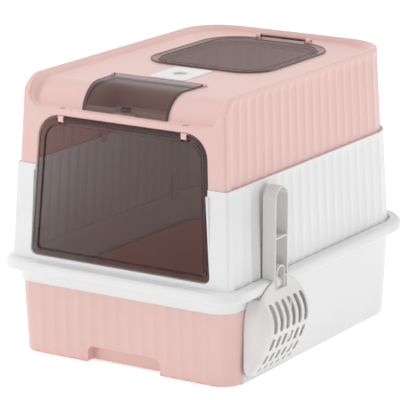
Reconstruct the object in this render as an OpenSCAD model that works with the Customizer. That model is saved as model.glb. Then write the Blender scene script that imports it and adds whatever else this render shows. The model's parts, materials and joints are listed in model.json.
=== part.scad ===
// Drawer litter box: base tub with a pull-out drawer, fluted housing and
// hood with a hanging flap door, hinged roof hatch, deodoriser lid and scoop.
// Millimetres. X is the width, -Y the front, Z up. The origin is on the
// floor, in the middle of the footprint.

/* [Base tub] */
// Outside width over the rim
rim_w = 354; // [330:1:380]
// Outside depth over the rim
rim_d = 486; // [450:1:520]
// Height of the underside of the rim
rim_z = 114; // [106:1:124]
// Height of the rim bead
rim_h = 14; // [12:0.5:18]
// How far the rim stands out from the tub wall at its underside
rim_out = 15; // [12:0.5:18]
// Corner radius of the rim bead at the front
rim_front_r = 38; // [34:1:46]
// Corner radius of the rim bead at the back
rim_rear_r = 70; // [60:1:80]
// Lean of the tub walls
tub_draft = 2.2; // [1:0.1:3]
// Plastic wall of the tub
tub_wall = 2.8; // [2.4:0.1:3.2]
// Height of the drawer opening under the apron
apron_z = 98; // [92:1:102]

/* [Drawer] */
// Height of the drawer pan's side walls
pan_h = 84; // [70:1:88]
// Plastic wall of the drawer
pan_wall = 2.4; // [2:0.1:3]
// Gap beside the drawer on each side
pan_gap = 3.5; // [2:0.5:6]
// How far the drawer front wraps round the sides
front_wrap = 37; // [30:1:42]
// Width of the hand recess in the drawer front
grip_w = 108; // [80:1:130]
// How far the drawer front stands back from the tub's front edge
front_inset = 7.5; // [5:0.5:10]
// Height of the hand recess in the drawer front
grip_h = 22; // [16:1:28]
// Flutes on the drawer front
drawer_flutes = 15; // [9:2:19]

/* [Housing and hood] */
// Height of the seam between housing and hood
seam_z = 248; // [235:1:260]
// Height of the top of the hood's lip
hood_z = 361.5; // [350:0.5:375]
// Lean of the housing and hood walls
draft = 2.6; // [1.5:0.1:3.2]
// Plastic wall of housing and hood
shell_wall = 2.6; // [2.2:0.1:3]
// How far the housing stands back from the rim's outer edge
housing_in = 16; // [14.5:0.5:18]
// Step from the housing's top lip in to the hood
hood_step = 3.4; // [3:0.1:4.5]
// Corner radius at the back of housing and hood
rear_r = 60; // [50:1:70]
// Corner radius at the front of housing and hood
front_r = 4; // [3:0.5:6]
// Flutes round the sides and back
flutes = 54; // [40:1:60]
// Depth of a flute
flute_depth = 1.8; // [1:0.1:2.2]

/* [Hood roof] */
// Depth of the recessed roof under the lip
roof_drop = 7; // [6:0.5:9]
// Width of the lip beside the roof
lip_w = 9; // [8:0.5:12]
// Radius from the front face to the top of the hood
brow_r = 30; // [26:1:34]
// Radius of the recessed roof where it turns down at the front
roof_r = 36; // [32:1:40]
// Height of the ledge at the foot of the roof recess
ledge_z = 325; // [322:0.5:328]

/* [Front door] */
// Width of the doorway at the sill
door_w = 264; // [240:1:270]
// Height of the sill
sill_z = 134; // [132:0.5:142]
// Height of the top of the doorway
door_top_z = 315.5; // [312:0.5:317]
// Corner radius at the top of the doorway
door_top_r = 31; // [24:1:36]
// Corner radius at the bottom of the doorway
door_foot_r = 8; // [5:0.5:12]
// Gap round the flap
door_gap = 1.2; // [0.8:0.1:2]
// Thickness of the flap
door_t = 2.4; // [2:0.1:3]
// Width of the flap's border
door_border = 8; // [5:0.5:12]
// Step from the flap's border back to its panel
door_step = 4; // [2:0.5:5]
// Radius of the flap's hinge barrel
door_barrel_r = 3.4; // [3:0.1:3.6]
// Diameter of the flap's pins
door_pin_d = 4; // [3:0.1:4.4]
// Middle of each hinge clip from the centre line
clip_x = 90; // [80:1:95]
// Width of a hinge clip
clip_w = 7.6; // [6:0.2:9]

/* [Roof hatch] */
// Width of the hatch
hatch_w = 181; // [160:1:200]
// Front edge of the hatch
hatch_y0 = -40; // [-42:1:-36]
// Rear edge of the hatch
hatch_y1 = 174; // [150:1:180]
// Corner radius of the hatch
hatch_r = 42; // [34:1:46]
// Thickness of the hatch
hatch_t = 2.6; // [2:0.1:3]
// How far the hatch laps over the edge of its opening
hatch_lap = 9; // [7:0.5:12]
// Depth of the skirt under the hatch
skirt_h = 9; // [8:0.5:12]
// Radius of the hatch's hinge barrel
hatch_barrel_r = 3.4; // [3:0.1:3.8]
// Length of the hinge with its ears
hatch_hinge_w = 84; // [60:2:110]
// Width of each hinge ear
ear_w = 7; // [5:0.5:9]
// Diameter of the hinge pin
hatch_pin_d = 3; // [2.5:0.1:3.4]

/* [Hatch latch] */
// Width of the slide plate
latch_w = 55; // [45:1:60]
// Length of the slide plate
latch_l = 70; // [60:1:74]
// Diameter of the thumb hole
thumb_d = 19.5; // [16:0.5:22]
// How far the latch slides to lock the hatch
latch_travel = 5; // [3:0.5:5.5]
// Width of the bolt under the roof
bolt_w = 14; // [10:1:20]

/* [Deodoriser lid] */
// Width of the lid over the deodoriser well
lid_w = 132; // [110:1:140]
// Rear edge of the lid
lid_rear_y = -130; // [-134:1:-128]
// Plastic thickness of the lid
lid_t = 2.4; // [2:0.1:2.8]
// Gap under the lid
lid_gap = 0.5; // [0.4:0.1:0.8]
// Radius of the lid's hinge barrel
lid_barrel_r = 1.7; // [1.6:0.1:2]
// Diameter of the lid's pins
lid_pin_d = 1.8; // [1.6:0.1:2]
// Width of the finger notch under the lid
notch_w = 42; // [30:1:60]
// Width of the lid's catch
catch_w = 13; // [8:0.5:20]
// Inside width of the well
well_w = 112; // [90:1:116]
// Height of the well's floor
well_z = 317; // [317:1:326]

/* [Scoop] */
// Middle of the scoop along the side
scoop_y = -135; // [-145:1:-120]
// Width of the scoop's handle
grip_bar_w = 31.5; // [28:0.5:36]
// Depth of the scoop's handle
grip_bar_t = 18.5; // [15:0.5:20]
// Top of the scoop's handle
grip_top_z = 251; // [240:1:256]
// Width of the scoop's bowl
bowl_w = 119; // [100:1:130]
// Plastic wall of the scoop
scoop_wall = 1.9; // [1.6:0.1:2.4]
// Width of a slot in the bowl
slot_w = 6.4; // [4:0.2:8]
// Rib between two slots
slot_rib = 8.4; // [6:0.2:10]

/* [Clips] */
// Width of a clip that holds the housing to the tub
side_clip_w = 18; // [12:1:24]
// Middle of the front clips on the tub
side_clip_y0 = -176; // [-185:1:-100]
// Middle of the rear clips on the tub
side_clip_y1 = 149; // [80:1:155]
// Width of a hook that holds the hood to the housing
hood_clip_w = 10; // [8:1:16]
// Middle of the front hooks of the hood
hood_clip_y0 = -36; // [-80:1:-20]
// Middle of the rear hooks of the hood
hood_clip_y1 = 64; // [20:1:120]
// Height of a clip that holds the housing to the tub
side_clip_h = 17; // [14:1:22]
// Clearance between parts that move past each other
play = 0.35; // [0.3:0.05:0.5]
// Radial clearance of a pin in its bore
run_fit = 0.05; // [0.02:0.01:0.1]

/* [Hidden] */
far = 300;

// Base tub
rim_top = rim_z + rim_h;
tub_w = rim_w - 2*rim_out;
tub_d = rim_d - 2*rim_out;
tub_front_r = rim_front_r - 8;
tub_rear_r = rim_rear_r - 8;
tub_lean_in = rim_z*tan(tub_draft);
floor_t = 3;
seat_z = rim_top - 6;
wrap_y = -tub_d/2 + tub_lean_in + front_wrap;

// Drawer
drawer_foot = 2;
drawer_top = apron_z - 0.75;
front_h = drawer_top - drawer_foot;
front_w0 = tub_w - 2*tub_lean_in;
front_w1 = front_w0 + 2*front_h*tan(tub_draft);
front_d0 = tub_d - 2*tub_lean_in - 2*front_inset;
front_d1 = front_d0 + 2*front_h*tan(tub_draft);
drawer_front_r = tub_front_r - 2;
pan_floor_z = floor_t + 1.2;
pan_w = tub_w - 2*(tub_lean_in + tub_wall + pan_gap);
pan_rear_y = tub_d/2 - tub_lean_in - tub_wall - 7.5;
pan_front_y = -front_d0/2 + 22;
pan_rear_r = tub_rear_r - 6;
web_z = 12;

// Housing
house_w = rim_w - 2*housing_in;
house_d = rim_d - 2*housing_in;
house_foot = seat_z + play;
house_top = seam_z + 2.5;
collar_top = rim_top + 1.5;
collar_in = shell_wall + (collar_top - house_foot)*tan(draft) + play;
collar_w = house_w - 2*collar_in;
collar_d = house_d - 2*collar_in;
collar_t = 2.4;

// Hood
hood_w = house_w - 2*((seam_z - house_foot)*tan(draft) + hood_step);
hood_d = house_d - 2*((seam_z - house_foot)*tan(draft) + hood_step/2);
hood_lean_in = (hood_z - seam_z)*tan(draft);
hood_top_w = hood_w - 2*hood_lean_in;
hood_top_d = hood_d - 2*hood_lean_in;
roof_z = hood_z - roof_drop;
ceiling_z = roof_z - shell_wall;
roof_w = hood_top_w - 2*lip_w - 10;
roof_rear_y = hood_top_d/2 - 8;
recess_r = 10;
roof_front_y = -hood_top_d/2 + 6;
brow_z = hood_z - brow_r;
brow_y = -hood_d/2 + (brow_z - seam_z)*tan(draft) + brow_r/cos(draft);
roof_bend_y = roof_front_y + roof_r;
roof_bend_z = roof_z - roof_r;
header_y = -hood_d/2 + (door_top_z - seam_z)*tan(draft);
flute_r = (20*20/4 + flute_depth*flute_depth)/(2*flute_depth);

// Front door
door_axis_z = door_top_z - door_barrel_r - 1;
door_axis_y = header_y + door_barrel_r - 1.2;
door_face = door_barrel_r - 2.2;
door_taper = (door_top_z - sill_z)*tan(draft);
sill_y = -house_d/2 + (sill_z - house_foot)*tan(draft);
tongue_y = -hood_d/2 + (ledge_z - seam_z)*tan(draft) + shell_wall + play;
tongue_t = 2;
door_lean = atan((door_axis_y - door_face - sill_y - 1.8)/(door_axis_z - sill_z));

// Roof hatch
hatch_z = roof_z + play;
hatch_axis_y = hatch_y1 + hatch_barrel_r + 1.6;
hatch_axis_z = roof_z + hatch_barrel_r + 0.4;
skirt_in = hatch_lap + 1.2;
skirt_t = 2.2;

// Latch
latch_drop = 1.2;
latch_t = 2.2;
latch_rear_y = hatch_y0 - 6;
stem_l = 8;
stem_w = 12;
stem_y = latch_rear_y - 20;
stem_fit = 0.1;
bolt_t = 3;
bolt_z = ceiling_z - bolt_t - play;
bolt_rear_y = hatch_y0 + hatch_lap - 0.5;

// Deodoriser lid
lid_out = lid_gap + lid_t;
lid_front_z = ledge_z + play;
lid_axis_y = lid_rear_y - lid_barrel_r;
lid_axis_z = roof_z + lid_barrel_r + 0.3;
lid_ear_w = 3.6;
well_front_y = roof_front_y + 8;
well_rear_y = lid_rear_y - 8;
well_wall = 2;

// Scoop
side_x = house_w/2;
scoop_x = side_x - (rim_top - house_foot)*tan(draft) + 1.6;
scoop_out = scoop_x + grip_bar_t;
bridge_x = rim_w/2 + 1.4;
bowl_mouth_x = tub_w/2 + 1;
bowl_tip_z = 9;
bowl_top_z = 121;
bowl_belly_z = 70;
bowl_belly_x = scoop_out + 5.5;
bowl_shoulder_r = 45;
bowl_foot_r = 18;

// Points on an arc from angle a0 to a1
function arc(cx, cy, r, a0, a1, n) =
    [for (i = [0:n]) [cx + r*cos(a0 + (a1 - a0)*i/n), cy + r*sin(a0 + (a1 - a0)*i/n)]];

// Plan outline: front corners of radius rf, back corners of radius rr
function plan(w, d, rf, rr) = concat(
    arc(w/2 - rr, d/2 - rr, rr, 0, 90, 9),
    arc(-w/2 + rr, d/2 - rr, rr, 90, 180, 9),
    arc(-w/2 + rf, -d/2 + rf, rf, 180, 270, 4),
    arc(w/2 - rf, -d/2 + rf, rf, 270, 360, 4));

// The plan outline at height z, as one level of a tapering body
function level(z, w, d, rf, rr) = [for (p = plan(w, d, rf, rr)) [p[0], p[1], z]];

// Convex body through the points of its levels
module through(points) {
    hull() polyhedron(points, [[for (i = [0:len(points) - 1]) i]]);
}

// Tapering body with the plan outline, wide at the foot
module tapered(z0, z1, w, d, rf, rr, lean) {
    in = (z1 - z0)*tan(lean);
    through(concat(level(z0, w, d, rf, rr), level(z1, w - 2*in, d - 2*in, rf, rr)));
}

// Prism along X of a profile drawn in Y and Z
module side_prism(w) {
    rotate([90, 0, 90])
        translate([0, 0, -w/2])
            linear_extrude(w) children();
}

// Prism along Y from y0 to y1 of a shape drawn in X and Z
module front_prism(y0, y1) {
    translate([0, y1, 0])
        rotate([90, 0, 0])
            linear_extrude(y1 - y0) children();
}

// Rectangle with round corners
module round_rect(x0, y0, x1, y1, r) {
    translate([x0 + r, y0]) square([x1 - x0 - 2*r, y1 - y0]);
    translate([x0, y0 + r]) square([x1 - x0, y1 - y0 - 2*r]);
    for (x = [x0 + r, x1 - r], y = [y0 + r, y1 - r])
        translate([x, y]) circle(r, $fn = 48);
}

// Place and outward angle at a share s of the run that the flutes take: from
// the right front corner, round the back, to the left front corner
function run_at(s, w, d, rr) =
    let (side = d - 12 - rr, bend = PI*rr/2, back = w - 2*rr,
         q = s*(2*side + 2*bend + back), a = 90/bend)
    q < side ? [w/2, -d/2 + 12 + q, 0] :
    q < side + bend ?
        [w/2 - rr + rr*cos(a*(q - side)), d/2 - rr + rr*sin(a*(q - side)), a*(q - side)] :
    q < side + bend + back ? [w/2 - rr - (q - side - bend), d/2, 90] :
    q < side + 2*bend + back ? let (b = 90 + a*(q - side - bend - back))
        [-w/2 + rr + rr*cos(b), d/2 - rr + rr*sin(b), b] :
    [-w/2, d/2 - rr - (q - side - 2*bend - back), 180];

// Round cutter outside the wall point p, deep enough for one flute
module flute_end(p, z) {
    translate([p[0] + (flute_r - flute_depth)*cos(p[2]), p[1] + (flute_r - flute_depth)*sin(p[2]), z])
        rotate([0, 0, p[2]]) children();
}

// Flutes that lean with the wall and end in an arch at the height z1, or as far
// under the edge, which the hood's brow turns down at the front
module wall_flutes(z0, z1, w, d, rr, brow) {
    for (i = [0:flutes - 1]) {
        foot = run_at((i + 0.5)/flutes, w, d, rr);
        crest = z1 - (brow ? hood_z - top_at(foot[1]) : 0);
        in = (crest - z0)*tan(draft);
        hull() {
            flute_end(foot, z0 - 1) cylinder(r = flute_r, h = 0.5, $fn = 36);
            flute_end(run_at((i + 0.5)/flutes, w - 2*in, d - 2*in, rr), crest - 9)
                sphere(flute_r, $fn = 36);
        }
    }
}

// ---- Base tub ----

// Outside of the tub, shrunk by in, up to the height z1
module tub_body(z0, z1, in) {
    foot_in = (rim_z - z0)*tan(tub_draft) + in;
    tapered(z0, z1, tub_w - 2*foot_in, tub_d - 2*foot_in, tub_front_r - in, tub_rear_r - in, -tub_draft);
}

// Rim bead with a soft top edge, shrunk by in
module rim_body(in) {
    steps = [[rim_z, 2.5], [rim_z + 3, 0], [rim_top - 6, 0.5], [rim_top - 2, 3], [rim_top, 7]];
    through([for (s = steps)
        each level(s[0] - in, rim_w - 2*s[1] - 2*in, rim_d - 2*s[1] - 2*in, rim_front_r, rim_rear_r)]);
}

module base_tub() {
    color("white")
    difference() {
        union() {
            tub_body(0, rim_top - 2, 0);
            difference() {
                rim_body(0);
                rim_body(tub_wall);
            }
            tapered(seat_z - 3, collar_top, collar_w, collar_d, front_r, rear_r - shell_wall, 0);
        }
        // inside of the tub and the way up through the collar
        tub_body(floor_t, seat_z - 3, tub_wall);
        tapered(seat_z - 4, rim_top + 20, collar_w - 2*collar_t, collar_d - 2*collar_t,
                front_r, rear_r - shell_wall - collar_t, 0);
        // groove that the housing stands in
        difference() {
            tapered(seat_z, rim_top + 9, house_w + 2*play, house_d + 2*play, front_r + play, rear_r + play, 0);
            tapered(seat_z - 1, rim_top + 10, collar_w, collar_d, front_r, rear_r - shell_wall, 0);
        }
        // front opening for the drawer
        translate([-far, -far, -1]) cube([2*far, wrap_y + far, apron_z + 1]);
    }
}

// ---- Drawer ----

// Outline of the drawer front at height z, shrunk by in
function front_level(z, in) =
    let (grow = (z - drawer_foot)*tan(tub_draft) - in, w = front_w0 + 2*grow,
         d = front_d0/2 + grow, r = drawer_front_r - in)
    [for (p = concat([[w/2, wrap_y - play]], [[-w/2, wrap_y - play]],
                     arc(-w/2 + r, -d + r, r, 180, 270, 7),
                     arc(w/2 - r, -d + r, r, 270, 360, 7))) [p[0], p[1], z]];

module front_body(z0, z1, in) {
    through(concat(front_level(z0, in), front_level(z1, in)));
}

module drawer_front_flutes() {
    pitch = (front_w0 - 2*drawer_front_r + 24)/drawer_flutes;
    r = (pitch*pitch/4 + flute_depth*flute_depth)/(2*flute_depth);
    for (i = [0:drawer_flutes - 1])
        hull()
            for (z = [drawer_foot - 1, drawer_top - 3])
                translate([(i - (drawer_flutes - 1)/2)*pitch,
                           -front_d0/2 - (z - drawer_foot)*tan(tub_draft) - r + flute_depth, z])
                    rotate([0, 0, 90]) cylinder(r = r, h = 0.5, $fn = 36);
}

// Outline of the pan, shrunk by in
function pan_level(z, in) =
    level(z, pan_w - 2*in, pan_rear_y - pan_front_y - 2*in, 14 - in, pan_rear_r - in);

module pan_body(z0, z1, in0, in1) {
    translate([0, (pan_rear_y + pan_front_y)/2, 0])
        through(concat(pan_level(z0, in0), pan_level(z1, in1)));
}

module drawer() {
    color("pink")
    difference() {
        union() {
            // front with its flutes, hollow behind
            difference() {
                front_body(drawer_foot, drawer_top, 0);
                drawer_front_flutes();
                difference() {
                    front_body(drawer_foot - 1, drawer_top + 1, pan_wall + flute_depth);
                    translate([-far, -front_d0/2, web_z]) cube([2*far, far, 2]);
                    for (x = [-1, 1])
                        translate([x*(grip_w/2 + 9) - 1, -front_d0/2, web_z]) cube([2, 24, pan_h - web_z]);
                }
                translate([-far, wrap_y - 6, web_z - 1]) cube([2*far, 20, 4]);
            }
            // pan with a turned-out edge
            pan_body(pan_floor_z, pan_h, 2, 0);
            pan_body(pan_h - 2, pan_h, -2, -2);
        }
        pan_body(pan_floor_z + pan_wall, pan_h + 1, 2 + pan_wall, pan_wall);
        // hand recess, with room for the fingers behind the front
        front_prism(-far, -front_d0/2 + 14)
            round_rect(-grip_w/2, -20, grip_w/2, drawer_foot + grip_h, 6);
    }
}

// ---- Housing ----

// Doorway, grown by grow, from y0 back to y1
module doorway(grow, y0, y1) {
    foot = door_w/2 + grow;
    top = foot - door_taper;
    rt = door_top_r + grow;
    rf = door_foot_r + grow;
    front_prism(y0, y1)
        polygon(concat(
            arc(top - rt, door_top_z + grow - rt, rt, 0, 90, 8),
            arc(-top + rt, door_top_z + grow - rt, rt, 90, 180, 8),
            arc(-foot + rf, sill_z - grow + rf, rf, 180, 270, 4),
            arc(foot - rf, sill_z - grow + rf, rf, 270, 360, 4)));
}

module housing() {
    ledge_z0 = seam_z - 4;
    ledge_in = (ledge_z0 - house_foot)*tan(draft) + shell_wall;
    color("white")
    difference() {
        union() {
            difference() {
                tapered(house_foot, house_top, house_w, house_d, front_r, rear_r, draft);
                wall_flutes(house_foot, house_top - 3, house_w, house_d, rear_r, false);
                tapered(house_foot - 1, house_top + 1, house_w - 2*shell_wall, house_d - 2*shell_wall,
                        front_r, rear_r - shell_wall, draft);
            }
            // shelf that the hood stands on
            difference() {
                tapered(ledge_z0, seam_z - play, house_w - 2*ledge_in + 1, house_d - 2*ledge_in + 1,
                        front_r, rear_r - shell_wall, draft);
                tapered(ledge_z0 - 1, seam_z + 1, house_w - 2*ledge_in - 12, house_d - 2*ledge_in - 12,
                        front_r, rear_r - 8, 0);
            }
            // flange round the lower doorway
            intersection() {
                difference() {
                    doorway(2.2, -far, -house_d/2 + 11);
                    doorway(-0.6, -far - 1, -house_d/2 + 12);
                }
                tapered(house_foot, ledge_z0 - 1, house_w, house_d, front_r, rear_r, draft);
            }
        }
        doorway(0, -far, -house_d/2 + 30);
        // seat of the hood's foot inside the top lip
        tapered(seam_z - play, house_top + 1, hood_w + 2*play, hood_d + 2*play, front_r, rear_r, 0);
    }
}

// Clip inside the housing wall that slides down behind the tub's collar
module side_clip(side, y) {
    z1 = collar_top + 7.5 + side_clip_h;
    wall_x = house_w/2 - shell_wall - (z1 - house_foot)*tan(draft);
    leg_x = collar_w/2 - collar_t - play;
    color("gainsboro")
        mirror([side < 0 ? 1 : 0, 0, 0])
            translate([0, y + side_clip_w/2, 0])
                rotate([90, 0, 0])
                    linear_extrude(side_clip_w)
                        polygon([[leg_x - 2.4, seat_z], [leg_x, seat_z], [leg_x, collar_top + 1],
                                 [wall_x, collar_top + 3], [wall_x, z1], [wall_x - 6, z1],
                                 [leg_x - 2.4, z1 - 12]]);
}

// ---- Hood ----

// Height of the hood's top over y, which turns down over the brow
function top_at(y) = brow_z + sqrt(max(0, sq(brow_r) - sq(max(brow_y - y, 0))));

module hood_body() {
    function in_at(z) = (z - seam_z)*tan(draft);
    z1 = hood_z - 3;
    intersection() {
        through(concat(
            level(seam_z, hood_w, hood_d, front_r, rear_r),
            level(z1, hood_w - 2*in_at(z1), hood_d - 2*in_at(z1), front_r, rear_r),
            level(hood_z - 0.8, hood_top_w - 2, hood_top_d - 2, front_r, rear_r - 1),
            level(hood_z, hood_top_w - 6, hood_top_d - 6, front_r, rear_r - 3)));
        side_prism(2*far)
            polygon(concat(
                [[-far, seam_z - 1], [far, seam_z - 1], [far, hood_z + 1], [brow_y, hood_z + 1]],
                arc(brow_y, brow_z, brow_r, 90, 165, 9),
                [[brow_y + brow_r*cos(165) - 9*sin(165), brow_z + brow_r*sin(165) + 9*cos(165)],
                 [-far, brow_z]]));
    }
}

// Space above the recessed roof, which turns down over the brow to the ledge
module roof_recess() {
    function recess(z, grow) = [z, roof_w + 2*grow, grow];
    intersection() {
        side_prism(2*far)
            polygon(concat(
                [[-far, ledge_z], [roof_front_y, ledge_z]],
                arc(roof_bend_y, roof_bend_z, roof_r, 170, 90, 10),
                [[far, roof_z], [far, hood_z + 20], [-far, hood_z + 20]]));
        for (pair = [[recess(ledge_z - 2, -2), recess(roof_z + 1, 0)],
                     [recess(roof_z + 1, 0), recess(roof_z + 3, 1.6)],
                     [recess(roof_z + 3, 1.6), recess(hood_z + 1, 6)]])
            through([for (l = pair, p = level(l[0], l[1], 2*far, 8, rear_r - lip_w))
                p + [0, roof_rear_y + l[2]/3 - far, 0]]);
        front_prism(-far, far)
            polygon(concat(
                arc(-roof_w/2 + recess_r, ledge_z + recess_r, recess_r, 180, 270, 6),
                arc(roof_w/2 - recess_r, ledge_z + recess_r, recess_r, 270, 360, 6),
                [[roof_w/2 + 20, ledge_z + 20], [roof_w/2 + 20, hood_z + 20],
                 [-roof_w/2 - 20, hood_z + 20], [-roof_w/2 - 20, ledge_z + 20]]));
    }
}

// Room inside the hood
module hood_room() {
    intersection() {
        tapered(seam_z - 1, hood_z, hood_w - 2*shell_wall, hood_d - 2*shell_wall,
                front_r, rear_r - shell_wall, draft);
        side_prism(2*far)
            polygon(concat(
                [[far, seam_z - 1], [far, ceiling_z], [roof_bend_y, ceiling_z]],
                arc(roof_bend_y, roof_bend_z, roof_r - shell_wall, 90, 168, 8),
                [[roof_front_y + shell_wall, ledge_z - shell_wall], [-far, ledge_z - shell_wall],
                 [-far, seam_z - 1]]));
    }
}

module hatch_outline(grow) {
    round_rect(-hatch_w/2 - grow, hatch_y0 - grow, hatch_w/2 + grow, hatch_y1 + grow, hatch_r + grow);
}

// Walls of the deodoriser well, hanging from the roof
module well_box() {
    intersection() {
        translate([-well_w/2 - well_wall, well_front_y - well_wall, well_z - 1.5])
            cube([well_w + 2*well_wall, well_rear_y - well_front_y + 2*well_wall, far]);
        side_prism(2*far)
            polygon(concat(
                [[far, 0], [far, roof_z], [roof_bend_y, roof_z]],
                arc(roof_bend_y, roof_bend_z, roof_r, 90, 170, 10),
                [[roof_front_y, ledge_z], [roof_front_y, 0]]));
    }
}

module well_space() {
    depth = well_rear_y - well_front_y;
    translate([-well_w/2, well_front_y, well_z]) cube([well_w, depth, far]);
    translate([-well_w/2 + 2, well_front_y + 2, well_z - 2]) cube([well_w - 4, depth - 4, 3]);
}

// Pocket for the slide plate and slot for its stem
module latch_track() {
    translate([-latch_w/2 - play, latch_rear_y - latch_l - play, roof_z - latch_drop])
        cube([latch_w + 2*play, latch_l + latch_travel + 2*play, 10]);
    translate([-stem_w/2 - play, stem_y - play, roof_z - 12])
        cube([stem_w + 2*play, stem_l + latch_travel + 2*play, 14]);
}

module hood() {
    color("pink")
    difference() {
        union() {
            difference() {
                hood_body();
                wall_flutes(seam_z, hood_z - 6, hood_w, hood_d, rear_r, true);
                hood_room();
                roof_recess();
            }
            well_box();
        }
        doorway(0, -far, -hood_d/2 + 14);
        translate([0, 0, roof_z - 10]) linear_extrude(20) hatch_outline(-hatch_lap);
        well_space();
        latch_track();
        // slot in the brow for the lid's catch
        translate([-catch_w/2 - 1, roof_front_y - 2, ledge_z + 3])
            cube([catch_w + 2, well_front_y - well_wall - roof_front_y + 2, 30]);
        // slots for the tongues of the door's hinge clips
        for (s = [-1, 1])
            translate([s*clip_x - 3.3, tongue_y - play, ledge_z - 6]) cube([6.6, tongue_t + 2*play, 8]);
    }
}

// Hook that holds the hood on the housing's shelf
module hood_clip(side, y) {
    wall_x = hood_w/2 - shell_wall - 8*tan(draft);
    shelf_z0 = seam_z - 4;
    shelf_x = house_w/2 - (shelf_z0 - house_foot)*tan(draft) - shell_wall - 6;
    color("pink")
        mirror([side < 0 ? 1 : 0, 0, 0])
            translate([0, y + hood_clip_w/2, 0])
                rotate([90, 0, 0])
                    linear_extrude(hood_clip_w)
                        polygon([[shelf_x - 2.6, shelf_z0 - 4], [shelf_x - 0.3, shelf_z0 - 4],
                                 [shelf_x + 1.6, shelf_z0 - 0.3], [shelf_x - 0.3, shelf_z0 - 0.3],
                                 [shelf_x - 0.3, seam_z + 1], [wall_x, seam_z + 2],
                                 [wall_x, seam_z + 8], [shelf_x - 2.6, seam_z + 4]]);
}

// Upright ear with a bore along X
module hinge_ear(x, w, y, z, r, pin_d) {
    translate([x - w/2, 0, 0])
        rotate([90, 0, 90])
            linear_extrude(w)
                difference() {
                    union() {
                        translate([y, z]) circle(r, $fn = 48);
                        translate([y - r, roof_z]) square([2*r, z - roof_z]);
                    }
                    translate([y, z]) circle(d = pin_d + 2*run_fit, $fn = 48);
                }
}

// Ears on the roof that hold the hatch's pin
module hatch_ears() {
    color("pink")
    for (s = [-1, 1])
        hinge_ear(s*(hatch_hinge_w/2 - ear_w/2), ear_w, hatch_axis_y, hatch_axis_z,
                  hatch_barrel_r, hatch_pin_d);
}

// Ears on the roof that hold the lid's pins
module lid_ears() {
    color("pink")
    for (s = [-1, 1])
        hinge_ear(s*(lid_w/2 + play + lid_ear_w/2), lid_ear_w, lid_axis_y, lid_axis_z,
                  lid_barrel_r + 0.2, lid_pin_d);
}

// Slotted floor of the deodoriser well
module well_floor() {
    slot = 3;
    pitch = 6;
    depth = well_rear_y - well_front_y;
    n = floor((depth - 8)/pitch);
    color("pink")
    difference() {
        translate([-well_w/2 + 0.2, well_front_y + 0.2, well_z]) cube([well_w - 0.4, depth - 0.4, 2]);
        for (i = [0:n - 1], s = [-1, 1])
            translate([s*well_w*0.235 - well_w*0.2, well_front_y + 5 + i*pitch, well_z - 1])
                cube([well_w*0.4, slot, 4]);
    }
}

// ---- Flap door ----

// Clip in the doorway's head that carries one of the flap's pins
module door_clip(side) {
    x = side*clip_x;
    color("pink")
    difference() {
        union() {
            translate([x - clip_w/2, door_axis_y - 3, door_axis_z - 3.2])
                cube([clip_w, 7.4, door_top_z - door_axis_z + 3.2]);
            translate([x - 3, tongue_y, door_top_z - 1])
                cube([6, tongue_t, ledge_z - door_top_z + 1]);
        }
        translate([x - clip_w, door_axis_y, door_axis_z])
            rotate([0, 90, 0]) cylinder(d = door_pin_d + 2*run_fit, h = 2*clip_w, $fn = 48);
    }
}

// Outline of the flap in X and Z, measured from its axis
module leaf_outline(in) {
    drop = (door_axis_z - sill_z)/cos(door_lean) - door_gap;
    foot = door_w/2 - door_gap - in;
    top = foot - door_taper;
    up = door_barrel_r - 2.8;
    rt = door_top_r - in;
    rf = door_foot_r - door_gap + 1;
    polygon(concat(
        arc(top - rt, up - in - rt, rt, 0, 90, 12),
        arc(-top + rt, up - in - rt, rt, 90, 180, 12),
        arc(-foot + rf, -drop + in + rf, rf, 180, 270, 6),
        arc(foot - rf, -drop + in + rf, rf, 270, 360, 6)));
}

module front_door() {
    barrel = clip_x - clip_w/2 - play;
    pin = clip_x + clip_w/2 - play;
    color("dimgray")
    translate([0, door_axis_y, door_axis_z]) {
        rotate([-door_lean, 0, 0])
            difference() {
                // border in front, panel stepped back
                union() {
                    front_prism(-door_face, -door_face + door_t) leaf_outline(0);
                    front_prism(-door_face + door_t - 0.5, -door_face + door_step + door_t)
                        leaf_outline(door_border - door_t);
                }
                front_prism(-20, -door_face + door_step) leaf_outline(door_border);
                // notches round the hinge clips
                for (s = [-1, 1])
                    translate([s*clip_x - clip_w/2 - 2*play, -10, -6.5]) cube([clip_w + 4*play, 20, 30]);
                translate([-clip_x, -10, 0]) cube([2*clip_x, 20, 30]);
            }
        rotate([0, 90, 0]) {
            translate([0, 0, -barrel]) cylinder(r = door_barrel_r, h = 2*barrel, $fn = 60);
            translate([0, 0, -pin]) cylinder(d = door_pin_d, h = 2*pin, $fn = 48);
        }
    }
}

// ---- Roof hatch ----

module ring_plate(z, h, outer, inner) {
    translate([0, 0, z])
        linear_extrude(h)
            difference() {
                hatch_outline(outer);
                hatch_outline(inner);
            }
}

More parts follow.
